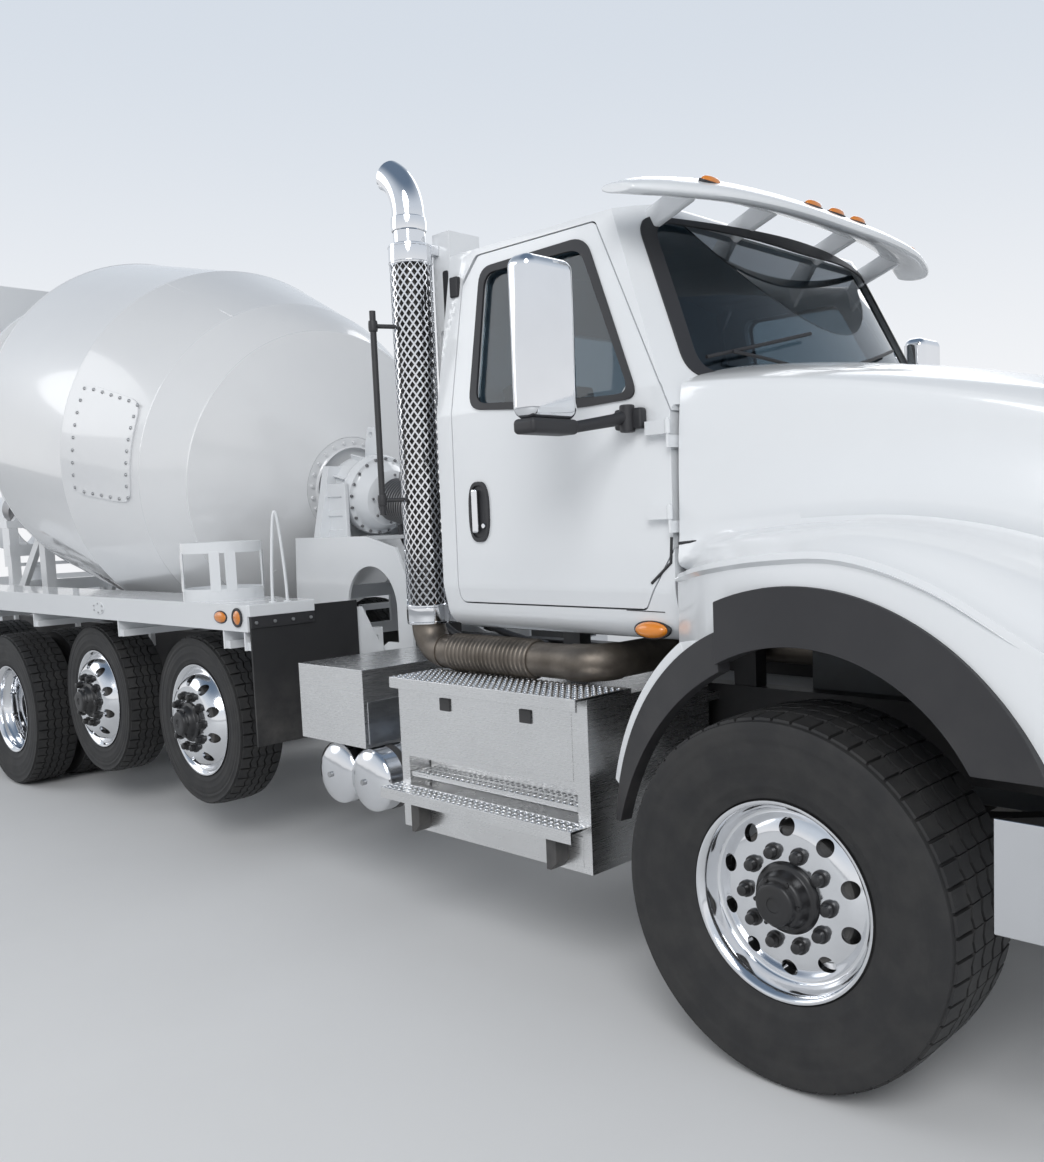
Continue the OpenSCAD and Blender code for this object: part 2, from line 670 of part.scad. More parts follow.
module exhaust_pipe() {
    bend_r = 110;
    pipe_z = 1240 - seat - bend_r;
    bellows_x = stack_x + bend_r;
    turn_x = -1000;
    port_y = -260;
    place() color("#6f675f") {
        translate([bellows_x, -stack_y, 1240 - seat]) rotate([90, 0, 0]) rotate_extrude(angle = 90)
            translate([-bend_r, 0]) circle(r = 70, $fn = 48);
        // Bellows under the cab, then plain pipe in to the engine
        translate([bellows_x - 1, -stack_y, pipe_z]) rotate([0, 90, 0]) rotate_extrude() polygon(concat([[0, 0]],
            [for (i = [0 : 40]) [i % 2 == 0 ? 68 : 78, 60 + i * 12]], [[0, 540]]));
        rod([bellows_x - 1, -stack_y, pipe_z], [turn_x + 1, -stack_y, pipe_z], 66);
        translate([turn_x, -stack_y + bend_r, pipe_z]) rotate([0, 0, -90]) rotate_extrude(angle = 90)
            translate([bend_r, 0]) circle(r = 70, $fn = 48);
        rod([turn_x + bend_r, -stack_y + bend_r - 1, pipe_z], [turn_x + bend_r, port_y - bend_r + 1, pipe_z], 66);
        translate([turn_x + 2 * bend_r, port_y - bend_r, pipe_z]) rotate([0, 0, 90]) rotate_extrude(angle = 90)
            translate([bend_r, 0]) circle(r = 70, $fn = 48);
        rod([turn_x + 2 * bend_r - 1, port_y, pipe_z], [-400 - seat, port_y, pipe_z], 66);
    }
}
module stack_column() {
    place() color("#e9ebec") difference() {
        box(column_x0, -cab_back - seat, column_y, -740, 1240, 2840);
        for (z = [1640, 2240]) translate([column_x0 + 52, column_y - 1, z]) rotate([-90, 0, 0]) linear_extrude(30)
            rounded(25) square([56, 420], center = true);
    }
}

// Steps, boxes and tanks
module tread_plate(x0, x1, y0, y1, z) {
    box(x0, x1, y0, y1, z, z + 8);
    box(x0, x1, y0, y0 + 6, z - 34, z + 8);
}
step_front = -760;
step_rear = -1810;
fuel_r = 308;
fuel_y = 890;
fuel_z = 760;
module step_boxes() {
    place() color("#b7babd") {
        difference() {
            box(step_rear, step_front, -1195, -500, 425, 1030);
            box(step_rear + 50, step_front - 60, -1196, -1080, 600, 720);
        }
        tread_plate(-1790, step_front, -1250, -960, 1040);
        box(-1690, step_front, -1195, -960, 1029, 1041);
        tread_plate(-1855, step_front - 20, -1275, -1120, 585);
        box(step_rear, step_front - 30, -1197, -1120, 570, 587);
        // Tool box with its bevelled lid
        difference() {
            box(-2570, -2080, -1180, -500, 705, 1045);
            translate([-2571, -1180, 985]) rotate([45, 0, 0]) translate([0, -100, 0]) cube([502, 100, 100]);
        }
        for (z = [460, 960]) box(-1690, -760, -510, -rail_y - seat, z - 30 < frame_bottom ? frame_bottom + 20 : z - 30, z - 30 < frame_bottom ? frame_bottom + 60 : z);
        box(-2530, -2110, -510, -rail_y - seat, 760, 960);
        // Left side treads in front of the fuel tank
        mirror([0, 1, 0]) {
            tread_plate(-1790, step_front, -1250, -1130, 1040);
            tread_plate(-1790, step_front, -1250, -1136, 560);
            difference() {
                for (x = [-1700, -880]) {
                    box(x, x + 40, -1240, -1200, 430, 1041);
                    box(x, x + 40, -1210, -1100, 640, 880);
                }
                translate([-2000, -fuel_y, fuel_z]) rotate([0, 90, 0]) cylinder(r = fuel_r + seat, h = 1500);
            }
        }
    }
}
module domed(r, l, dome) {
    rotate_extrude($fn = 64) polygon(concat([[0, 0]], [for (a = [0 : 10 : 90]) [r * sin(a), dome - dome * cos(a)]],
        [for (a = [90 : -10 : 0]) [r * sin(a), l - dome + dome * cos(a)]]));
}
tank_x = [-2343, -2095];
module tanks() {
    place() color("#c3c6c9") {
        for (x = tank_x) translate([x, -1190, 560]) rotate([-90, 0, 0]) domed(140, 640, 50);
        for (x = tank_x) box(x - 30, x + 30, -1000, -940, 690, 705 - seat);
        // Fuel tank on the left
        translate([-1720, fuel_y, fuel_z]) rotate([0, 90, 0]) domed(fuel_r, 950, 60);
        for (x = [-1560, -1000]) box(x, x + 50, rail_y + seat, 700, 780, 960);
        // Water tank behind the cab on the left
        translate([-2740, 830, 1620]) rotate([0, 90, 0]) domed(270, 900, 70);
        for (x = [-2560, -2120]) {
            box(x, x + 50, rail_y + seat, 880, 900, 960);
            box(x, x + 50, 780, 880, 900, 1400);
        }
    }
}

// Axles behind the cab
module pusher_axle(x) {
    both() translate([-x, 0, pusher_z]) rotate([-90, 0, 0]) {
        cylinder(r = 62, h = 760);
        translate([0, 0, 700]) cylinder(r = spindle_r, h = pusher_wheel_y + twin_disc + 10 - 700);
        translate([0, 0, 740]) cylinder(r = 90, h = 30);
    }
    both() {
        // Flat air spring, squeezed between the raised axle and the rail
        translate([-x, rail_y - 60, pusher_z + 30]) cylinder(r = 90, h = rail_under - seat - pusher_z - 30);
        // Trailing arm to its hanger ahead of the axle
        slab(rail_y - 45, rail_y - 15) polygon([[-x - 80, pusher_z - 70], [-x + 60, pusher_z - 80], [-x + 620, 600],
            [-x + 600, 680], [-x + 70, pusher_z + 40], [-x - 80, pusher_z + 20]]);
        box(-x + 540, -x + 640, rail_y - 70, rail_y - 10, 590, rail_under - seat);
    }
}
module pusher_axles() {
    on_road() color("#2f3133") for (x = [pusher_1_x, pusher_2_x]) pusher_axle(x);
}
module drive_axle(x) {
    both() translate([-x, 0, drive_tyre_r]) rotate([-90, 0, 0]) {
        cylinder(r = 70, h = 660);
        translate([0, 0, 640]) cylinder(r = spindle_r, h = drive_wheel_y - twin_disc + 30 - 640);
    }
    translate([-x, 0, drive_tyre_r]) {
        rotate([0, 90, 0]) translate([0, 0, -150]) cylinder(r = 190, h = 260);
        rotate([0, 90, 0]) cylinder(r = 90, h = 330);
    }
    both() box(-x - 70, -x + 70, 470, 560, 440, 590);
}
module drive_axles() {
    mid = (drive_1_x + drive_2_x) / 2;
    shaft_x = -4330;
    shaft_z = 535;
    shaft_r = 45;
    on_road() color("#2f3133") {
        for (x = [drive_1_x, drive_2_x]) drive_axle(x);
        both() {
            slab(480, 550) polygon([[-drive_2_x - 30, 450], [-drive_1_x + 30, 450], [-drive_1_x + 30, 500], [-mid, 560],
                [-drive_2_x - 30, 500]]);
            slab(440, 570) polygon([[-mid - 160, 470], [-mid + 160, 470], [-mid + 220, rail_under + 60],
                [-mid - 220, rail_under + 60]]);
            box(-mid - 200, -mid + 200, rail_y + seat, 560, rail_under, rail_under + 120);
        }
        // Propeller shaft between the axles and forward to the gearbox, under the raised axles
        translate([-drive_2_x + 320, 0, drive_tyre_r]) rotate([0, 90, 0]) cylinder(r = 45, h = drive_2_x - drive_1_x - 460);
        rod([-drive_1_x + 320, 0, drive_tyre_r], [shaft_x - 30, 0, shaft_z], shaft_r);
        translate([shaft_x - 60, 0, shaft_z]) rotate([0, 90, 0]) cylinder(r = 80, h = 100);
        rod([shaft_x + 10, 0, shaft_z], [-1345, 0, 730], shaft_r);
        translate([-1380, 0, 730]) rotate([0, 90, 0]) cylinder(r = 66, h = 50 - seat);
        box(shaft_x - 40, shaft_x + 20, -90, 90, shaft_z + 30, rail_under - seat);
        box(shaft_x - 40, shaft_x + 20, -rail_y + 20, rail_y - 20, rail_under - 40, rail_under - seat);
    }
}

// Side decks with their brackets, bucket rack and rod
deck_inner = 850;
deck_skirt = 130;
bracket_x = [2980, 3180, 4380, 5650, 6920, 8230];
module deck() {
    box(-deck_rear, -deck_front, deck_inner, deck_half_w, deck_top - 12, deck_top);
    box(-deck_rear, -deck_front, deck_half_w - 12, deck_half_w, deck_top - deck_skirt, deck_top);
    box(-deck_rear, -deck_rear + 12, deck_inner, deck_half_w, deck_top - deck_skirt, deck_top);
    box(-deck_front - 12, -deck_front, deck_inner, deck_half_w, deck_top - deck_skirt, deck_top);
    for (x = bracket_x) {
        slab(deck_inner + 20, deck_half_w - 6) translate([-x, 1080]) square([12, deck_top - 1086]);
        box(-x, -x + 40, rail_y + seat, deck_half_w - 20, 1080, 1120);
        box(-x, -x + 40, rail_y + seat, rail_y + 30, frame_top - 120, 1120);
    }
}
// Middle of the bucket rack, and the radius of its rings
rack_x = -3340;
rack_y = 1015;
rack_r = 200;
rod_x = [-3100, -3000];
rod_y = 1120;
module bucket_rack() {
    translate([rack_x, -rack_y, deck_top - 2]) {
        tube(rack_r, rack_r - 6, 60);
        translate([0, 0, 268]) tube(rack_r, rack_r - 6, 14);
        for (a = [0 : 60 : 300]) rotate([0, 0, a]) translate([rack_r - 6, -20, 0]) cube([6, 40, 270]);
    }
    // Inverted U of rod beside it
    for (x = rod_x) rod([x, -rod_y, deck_top - 6], [x, -rod_y, deck_top + 430], 8);
    rod([rod_x[0] - 8, -rod_y, deck_top + 430], [rod_x[1] + 8, -rod_y, deck_top + 430], 8);
}
module side_decks() {
    place() color("#eceeef") {
        both() deck();
        bucket_rack();
        // Gussets at the front ends of the decks
        both() wall(-deck_front - 12, -deck_front) polygon([[rail_y + seat, frame_top - 150],
            [rail_y + seat, frame_top - 10], [560, 1240], [deck_inner + 10, 1240], [deck_inner + 10, 1130]]);
    }
}
module mud_flaps() {
    place() color("#141416") both() {
        box(-deck_front + seat, -deck_front + 12, 600, deck_half_w - 10, 615, deck_top - 24);
        box(-deck_rear - 10, -deck_rear - seat, 620, deck_half_w - 10, 300, deck_top - deck_skirt + 8);
    }
}

// Mixer drum and what carries it
module drum_axis() {
    translate([-drum_front_x, 0, drum_front_z]) rotate([0, drum_slope - 90, 0]) children();
}
function drum_x(s) = -drum_front_x - s * cos(drum_slope);
function drum_z(s) = drum_front_z + s * sin(drum_slope);
// Drum sections: distance along the axis, outside radius
drum_rows = [[0, 300], [150, 640], [300, 895], [600, 1030], [1290, drum_r], [2560, drum_r], [3400, 925], [drum_l, mouth_r]];
module drum() {
    n = len(drum_rows);
    outer = [for (p = drum_rows) [p[1], p[0]]];
    inner = [for (i = [n - 1 : -1 : 0]) [drum_rows[i][1] - drum_wall, drum_rows[i][0] + (i == 0 ? drum_wall : i == n - 1 ? 0 : drum_wall / 3)]];
    place() color("#e9ebec") drum_axis() {
        rotate_extrude($fn = 120) polygon(concat([[0, 0]], outer, inner, [[0, drum_wall]]));
        rotate_extrude($fn = 120) polygon([[track_r - 80, track_s - 45], [track_r, track_s - 45], [track_r, track_s + 45],
            [track_r - 90, track_s + 45]]);
        translate([0, 0, drum_l - 40]) tube(mouth_r + 26, mouth_r - 5, 40);
        translate([0, 0, -24]) cylinder(r = 238, h = 30);
    }
}
gear_back = -24;
module drum_drive() {
    place() color("#dfe1e3") drum_axis() {
        translate([0, 0, gear_back - 60]) cylinder(r = 170, h = 60 - seat);
        translate([0, 0, gear_back - 220]) cylinder(r = 200, h = 160);
        translate([0, 0, gear_back - 300]) cylinder(r = 235, h = 80);
        translate([0, 0, gear_back - 400]) cylinder(r1 = 150, r2 = 200, h = 100);
        translate([0, 0, gear_back - 720]) cylinder(r = 128, h = 325);
    }
}
pedestal_top = 1600;
cradle_s = -170;
module front_pedestal() {
    arch_c = -3030;
    arch_r = 220;
    place() color("#eceeef") {
        both() slab(rail_y - 20, rail_y - 4) difference() {
            polygon([[-3780, frame_top + seat], [-3740, pedestal_top], [-3050, pedestal_top], [-2800, 1540],
                [-2690, 1330], [-2690, frame_top + seat]]);
            translate([arch_c, 1220]) circle(r = arch_r);
            translate([arch_c - arch_r, 1040]) square([2 * arch_r, 180]);
        }
        box(-3740, -3060, -rail_y + 6, rail_y - 6, pedestal_top - 20, pedestal_top);
        wall(-3750, -3730) difference() {
            translate([-rail_y + 6, frame_top + seat]) square([2 * rail_y - 12, 1300 - frame_top]);
            translate([-220, 1060]) square([440, 160]);
        }
        // Cradle that holds the gearbox by its collar
        difference() {
            translate([-drum_front_x - cradle_s - 60, 0, 0]) wall(-30, 30) polygon([[-330, pedestal_top - 10], [-240, 2010], [240, 2010], [330, pedestal_top - 10]]);
            drum_axis() translate([0, 0, gear_back - 300]) cylinder(r = 200 + seat, h = 400);
            drum_axis() translate([0, 0, gear_back - 420]) cylinder(r = 236, h = 201);
        }
    }
}
leg_x = -7560;
leg_back_x = -8320;
module drum_rollers() {
    place() color("#77797c") drum_axis() for (s = [-1, 1]) rotate([0, 0, s * roller_angle])
        translate([-(track_r + roller_r + seat), 0, track_s - 70]) {
            cylinder(r = roller_r, h = 140);
            translate([0, 0, -60]) cylinder(r = 35, h = 260);
        }
}
module rear_pedestal() {
    top = 1800;
    place() color("#eceeef") {
        both() {
            // Main legs, braces and the beam under the rollers
            box(leg_back_x - 50, leg_back_x + 50, rail_y - 80, rail_y - 4, frame_top + seat, 2360);
            slab(rail_y - 60, rail_y - 20) polygon([[leg_x, top - 100], [leg_back_x, frame_top + 20], [leg_back_x, frame_top + 140], [leg_x, top]]);
            slab(rail_y - 60, rail_y - 20) polygon([[leg_x + 40, 1200], [leg_x + 520, frame_top + seat], [leg_x + 420, frame_top + seat], [leg_x + 40, 1100]]);
            difference() {
                union() {
                    box(leg_x - 60, leg_x + 60, rail_y - 80, rail_y - 4, frame_top + seat, top);
                    box(leg_x - 230, leg_x + 60, rail_y - 80, 700, top - 60, top);
                }
                drum_axis() rotate([0, 0, -roller_angle]) translate([-(track_r + roller_r + seat), 0, track_s - 76])
                    cylinder(r = roller_r + 8, h = 152);
            }
            // Bearing blocks of the rollers
            drum_axis() rotate([0, 0, roller_angle]) translate([-(track_r + roller_r + seat), 0, 0])
                for (z = [track_s - 125, track_s + 75]) difference() {
                    translate([-120, -60, z]) cube([180, 120, 50]);
                    translate([0, 0, z - 1]) cylinder(r = 35 + seat, h = 52);
                }
            box(leg_back_x - 50, leg_back_x + 50, rail_y - 20, 760, 2300, 2360);
            box(leg_back_x - 50, leg_back_x + 50, 700, 760, 2300, 3120);
        }
        box(leg_x - 60, leg_x + 60, 70 - rail_y, rail_y - 70, top - 60, top);
        box(leg_back_x - 50, leg_back_x + 50, -rail_y, rail_y, 1500, 1600);
        // Bearing of the chute post on its arm
        difference() {
            union() {
                box(leg_back_x - 50, leg_back_x + 50, -rail_y, rail_y, 1180, 1280);
                box(-chute_x, leg_back_x, -130, 130, 1190, 1270);
                translate([-chute_x, 0, 1110]) cylinder(r = 100, h = 240);
            }
            translate([-chute_x, 0, 1100]) cylinder(r = 60 + run, h = 300);
        }
    }
}
mouth_x = drum_x(drum_l);
mouth_z = drum_z(drum_l);
module funnel(g) {
    hull() {
        translate([mouth_x - 520 + g, -560 + g, 3780 + (g > 0 ? 1 : 0)]) cube([780 - 2 * g, 1120 - 2 * g, 2]);
        translate([mouth_x - 330 + g, -230 + g, 3180 - (g > 0 ? 1 : 0)]) cube([260 - 2 * g, 460 - 2 * g, 2]);
    }
}
module charge_hopper() {
    place() color("#eceeef") {
        difference() {
            union() {
                funnel(0);
                both() {
                    box(leg_back_x - 280, leg_back_x + 50, 700, 760, 3120 + seat, 3200);
                    box(leg_back_x - 280, leg_back_x - 200, 240, 760, 3190, 3250);
                }
            }
            funnel(10);
        }
        // Discharge hopper under the mouth, open to the drum
        difference() {
            union() {
                hull() {
                    translate([mouth_x - 330, -520, 2600]) cube([420, 1040, 2]);
                    translate([-chute_x - 40, -170, 2120]) cube([260, 340, 2]);
                }
                both() {
                    box(leg_back_x - 50, leg_back_x, 480, 700 - seat, 2520, 2590);
                }
            }
            hull() {
                translate([mouth_x - 320, -510, 2601]) cube([400, 1020, 2]);
                translate([-chute_x - 30, -160, 2119]) cube([240, 320, 2]);
            }
            drum_axis() rotate_extrude($fn = 60) polygon([[0, 3400], [945, 3400], [mouth_r + 40, drum_l - 60],
                [mouth_r + 40, drum_l + 12], [0, drum_l + 12]]);
        }
    }
}
// Chutes: the folding part turns on ears whose rims are the rear end of the vehicle
ear_r = 30;
fold_gap = 6;
fold_x = ear_r - rear_reach;
fold_z = chute_z + fold_gap;
trough_x0 = fold_x + fold_gap / 2;
lip = 16;
ear_t = 8;
module trough(x0, x1, z, flip) {
    translate([x0, 0, z]) rotate([0, 90, 0]) linear_extrude(x1 - x0) mirror([flip ? 1 : 0, 0]) difference() {
        circle(r = chute_r);
        circle(r = chute_r - chute_t);
        translate([-chute_r - 1, -chute_r - 1]) square([chute_r + 1, 2 * chute_r + 2]);
    }
}
module chute_turret() {
    place() color("#e3e5e7") {
        translate([-chute_x, 0, 1080]) cylinder(r = 60, h = 325);
        translate([-chute_x, 0, 1350 + seat]) cylinder(r = 90, h = 30);
        difference() {
            both() box(-chute_x - 50, -chute_x + 50, chute_r + 30, chute_r + 50, 1400, chute_z + 45);
            translate([-chute_x, 0, chute_z]) rotate([90, 0, 0]) translate([0, 0, -600]) cylinder(r = 25 + run, h = 1200);
        }
        box(-chute_x - 50, -chute_x + 50, -chute_r - 50, chute_r + 50, 1400, 1430);
    }
}
module chute_main() {
    place() color("#e3e5e7") {
        trough(trough_x0, -chute_x + 130, chute_z, false);
        both() {
            translate([-chute_x, chute_r - 4, chute_z]) rotate([-90, 0, 0]) cylinder(r = 25, h = 58);
            box(trough_x0, -chute_x + 100, chute_r - chute_t, chute_r + lip, chute_z - 24, chute_z);
            // Ear and pin of the folding part
            slab(chute_r + lip - 1, chute_r + lip + ear_t) {
                translate([fold_x, fold_z]) circle(r = ear_r);
                translate([fold_x, chute_z - 24]) square([110, 24]);
            }
            translate([fold_x, chute_r + lip, fold_z]) rotate([-90, 0, 0]) cylinder(r = 12, h = 2 * ear_t + fold_gap + 4);
        }
    }
}
module chute_fold() {
    inner_y = chute_r + lip + ear_t + fold_gap;
    base = chute_z + 2 * fold_gap;
    place() color("#e3e5e7") {
        trough(trough_x0, -chute_x - 60, base, true);
        both() {
            box(trough_x0 + 40, -chute_x - 60, chute_r - chute_t, chute_r + lip, base, base + 24);
            difference() {
                union() {
                    slab(inner_y, inner_y + ear_t) {
                        translate([fold_x, fold_z]) circle(r = ear_r);
                        translate([fold_x, base]) square([110, 24]);
                    }
                    box(fold_x + 45, fold_x + 110, chute_r + lip - 1, inner_y + ear_t, base, base + 24);
                }
                translate([fold_x, 0, fold_z]) rotate([-90, 0, 0]) cylinder(r = 12 + run, h = 600);
            }
        }
    }
}

// Hood sections from the cab forward. Columns: x, centre height, shoulder y and z, crease y and z,
// side foot y and z, fender top y and z, fender edge y and z
hood_rows = [
    [-482, 2205, 985, 2092, 1004, 1872, 1014, 1560, 1022, 1500, 1030, 1440],
    [-250, 2185, 965, 2080, 978, 1866, 1000, 1580, 1090, 1568, 1190, 1480],
    [0, 2150, 930, 2055, 935, 1858, 965, 1600, 1120, 1596, 1250, 1510],
    [250, 2105, 880, 2015, 882, 1842, 915, 1600, 1120, 1600, 1256, 1512],
    [500, 2045, 822, 1962, 826, 1812, 870, 1560, 1110, 1548, 1256, 1440],
    [750, 1970, 755, 1895, 765, 1762, 830, 1480, 1080, 1440, 1240, 1300],
    [900, 1915, 705, 1845, 722, 1720, 790, 1420, 1010, 1350, 1170, 1200],
    [hood_nose, 1865, 650, 1800, 680, 1680, 740, 1380, 930, 1290, 1060, 1140]];
hood_foot = 945;
// Half section, from the middle out and down to the foot, as points in Y and Z
function hood_half(v, g) = [[0, v[1] - g], [v[2] * 0.62, v[1] - (v[1] - v[3]) * 0.28 - g], [v[2] - 70, v[3] + 26 - g],
    [v[2] - g * 0.7, v[3] - 12 - g * 0.7], [v[4] - g, v[5]], [v[6] - g, v[7] + (v[5] - v[7]) * 0.35],
    [v[6] - g * 0.5, v[7] + 20 - g * 0.5 ], [v[8] - g * 0.4, v[9] - g], [v[10] - 50 - g * 0.6, v[11] + 34 - g * 0.9],
    [v[10] - g, v[11]], [v[10] - g, hood_foot]];
function hood_section(v, g) = let (h = hood_half(v, g)) concat([for (i = [len(h) - 1 : -1 : 1]) [-h[i][0], h[i][1]]], h);
module hood_skin() {
    m = len(hood_section(hood_rows[0], 0));
    n = len(hood_rows);
    outer = [for (v = hood_rows) for (p = hood_section(v, 0)) [v[0], p[0], p[1]]];
    inner = [for (v = hood_rows) for (p = hood_section(v, hood_t)) [v[0], p[0], p[1]]];
    o = n * m;
    tops = [for (i = [0 : n - 2]) for (k = [0 : m - 2]) let (a = i * m + k, b = a + 1, c = a + m, d = c + 1)
        each [[a, b, d], [a, d, c]]];
    unders = [for (f = tops) [f[2] + o, f[1] + o, f[0] + o]];
    foots = [for (i = [0 : n - 2]) let (a = i * m, c = a + m, b = a + m - 1, d = b + m)
        each [[a, c, c + o], [a, c + o, a + o], [b, b + o, d + o], [b, d + o, d]]];
    backs = [for (k = [0 : m - 2]) each [[k, k + o, k + 1 + o], [k, k + 1 + o, k + 1]]];
    e = (n - 1) * m;
    fronts = [for (k = [0 : m - 2]) each [[e + k, e + k + 1, e + k + 1 + o], [e + k, e + k + 1 + o, e + k + o]]];
    polyhedron(points = concat(outer, inner), faces = concat(tops, unders, foots, backs, fronts), convexity = 8);
}
module flare_arc(r0, r1) {
    difference() {
        translate([arch_x, arch_z]) circle(r = r1, $fn = 120);
        translate([arch_x, arch_z]) circle(r = r0, $fn = 120);
    }
}
grille_hw = 500;
grille_z0 = 1000;
grille_z1 = 1760;
lamp_y0 = 700;
lamp_y1 = 985;
lamp_z0 = 1080;
lamp_z1 = 1290;
module grille_line() {
    rounded(60) polygon([[-grille_hw, grille_z0], [-grille_hw + 60, grille_z1], [grille_hw - 60, grille_z1],
        [grille_hw, grille_z0]]);
}
module hood() {
    nose_row = hood_rows[len(hood_rows) - 1];
    place() color("#f0f2f3") {
        difference() {
            union() {
                hood_skin();
                // Front panel between the fenders
                wall(hood_nose - 30, hood_nose) polygon(hood_section(nose_row, 0));
            }
            // Wheel arches, the bay behind the windscreen foot, the grille and the lamps
            both() slab(600, 1400) {
                intersection() {
                    translate([arch_x, arch_z]) circle(r = flare_r - 4, $fn = 120);
                    translate([flare_split, 0]) square([2000, 2000]);
                }
                intersection() {
                    translate(tail_at) circle(r = tail_r + seat, $fn = 120);
                    translate([flare_split - 1200, 0]) square([1201, 2000]);
                }
                translate([-1000, 0]) square([1000 + arch_x, arch_z + 260]);
            }
            intersection() {
                screen_solid(screen_r + 12);
                box(-1500, 300, -1200, 1200, 2000, 3000);
            }
            wall(hood_nose - 60, hood_nose + 1) grille_line();
            both() slab(rail_y - 100, rail_y - 66) translate([hood_pivot_x, hood_pivot_z]) circle(r = 32);
            both() tail_place() slab(flare_y - flare_deep - 1, flare_y + 300) intersection() {
                translate(tail_at) circle(r = tail_r + seat, $fn = 120);
                translate([-1200, 0]) square([1200 + flare_split - 6 + seat, 2000]);
            }
            both() wall(hood_nose - 60, hood_nose + 1) rounded(40) polygon([[lamp_y0, lamp_z0], [lamp_y0, lamp_z1], [lamp_y1 - 60, lamp_z1], [lamp_y1, lamp_z0]]);
        }
        // Fender tails behind the wheels, drawn inwards to the cab
        both() fender_tail();
        // Pivot arms at the foot of the nose
        both() difference() {
            slab(rail_y - 130, rail_y - 100) union() {
                translate([hood_pivot_x, hood_pivot_z]) circle(r = 30);
                translate([hood_nose - 50, hood_pivot_z - 30]) square([50, 60]);
                translate([hood_nose - 60, hood_pivot_z - 10]) square([60, 70]);
            }
            translate([hood_pivot_x, 0, hood_pivot_z]) rotate([-90, 0, 0]) cylinder(r = 15 + run, h = 600);
        }
    }
}
module tail_place() { translate([flare_split, flare_y, 0]) rotate([0, 0, flare_yaw]) translate([-flare_split, -flare_y, 0]) children(); }
module fender_tail() {
    intersection() {
        tail_place() slab(flare_y - 130, flare_y - 26) intersection() {
            difference() {
                translate(tail_at + [-8, 14]) circle(r = tail_r + 18, $fn = 120);
                translate(tail_at) circle(r = tail_r + seat, $fn = 120);
            }
            translate([-900, 760]) square([855 + flare_split, 640]);
        }
        box(-2000, 2000, tail_inner_y, 1400, 0, 2000);
    }
}
module fender_flares() {
    place() color("#1c1d20") both() {
        slab(flare_y - flare_deep, flare_y) intersection() {
            flare_arc(flare_inner_r, flare_r - 4 - seat);
            translate([flare_split, arch_z + 280]) square([2000, 2000]);
        }
        intersection() {
            tail_place() slab(flare_y - tail_deep, flare_y - 20) intersection() {
                difference() {
                    translate(tail_at) circle(r = tail_r, $fn = 120);
                    translate(tail_inner_at) circle(r = tail_inner_r, $fn = 120);
                }
                translate([-1200, rear_flare_end]) square([1200 + flare_split - 6, 2000]);
            }
            box(-2000, 2000, tail_inner_y, 1400, 0, 2000);
        }
    }
}
module grille() {
    place() color("#9da0a4") {
        wall(hood_nose - 30, hood_nose - 22) offset(delta = -seat) grille_line();
        intersection() {
            for (z = [grille_z0 + 40 : 80 : grille_z1 - 40]) box(hood_nose - 24, hood_nose, -grille_hw, grille_hw, z, z + 30);
            wall(hood_nose - 30, hood_nose + 10) offset(delta = -seat) grille_line();
        }
    }
}
module headlamps() {
    place() color("#d5dde2") both() wall(hood_nose - 50, hood_nose + 8) offset(delta = -seat) rounded(40)
        polygon([[lamp_y0, lamp_z0], [lamp_y0, lamp_z1], [lamp_y1 - 60, lamp_z1], [lamp_y1, lamp_z0]]);
}

frame_rails();
front_axle();
engine_block();
front_bumper();
cab_shell();
cab_glass();
cab_interior();
sun_visor();
marker_lamps();
exhaust_stack();
exhaust_pipe();
stack_column();
step_boxes();
tanks();
pusher_axles();
drive_axles();
side_decks();
mud_flaps();
front_pedestal();
drum_drive();
rear_pedestal();
drum_rollers();
charge_hopper();
hood();
fender_flares();
grille();
headlamps();
door(right);  // door_right
door(left);  // door_left
door_glass(right);  // door_glass_right
door_glass(left);  // door_glass_left
mirror_unit(right);  // mirror_right
mirror_unit(left);  // mirror_left
drum();
chute_turret();
chute_main();
chute_fold();
knuckle(right);  // knuckle_right
knuckle(left);  // knuckle_left
tie_rod();
front_tyre(right);  // tyre_front_right
front_wheel(right);  // wheel_front_right
front_tyre(left);  // tyre_front_left
front_wheel(left);  // wheel_front_left
pusher_tyre(pusher_1_x, right);  // tyre_pusher_1_right
pusher_rim(pusher_1_x, right);  // wheel_pusher_1_right
pusher_tyre(pusher_1_x, left);  // tyre_pusher_1_left
pusher_rim(pusher_1_x, left);  // wheel_pusher_1_left
pusher_tyre(pusher_2_x, right);  // tyre_pusher_2_right
pusher_rim(pusher_2_x, right);  // wheel_pusher_2_right
pusher_tyre(pusher_2_x, left);  // tyre_pusher_2_left
pusher_rim(pusher_2_x, left);  // wheel_pusher_2_left
drive_tyre(drive_1_x, right);  // tyre_drive_1_right
drive_rim(drive_1_x, right);  // wheel_drive_1_right
drive_tyre(drive_1_x, left);  // tyre_drive_1_left
drive_rim(drive_1_x, left);  // wheel_drive_1_left
drive_tyre(drive_2_x, right);  // tyre_drive_2_right
drive_rim(drive_2_x, right);  // wheel_drive_2_right
drive_tyre(drive_2_x, left);  // tyre_drive_2_left
drive_rim(drive_2_x, left);  // wheel_drive_2_left
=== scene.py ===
import json
import math
import bpy
from mathutils import Matrix, Vector


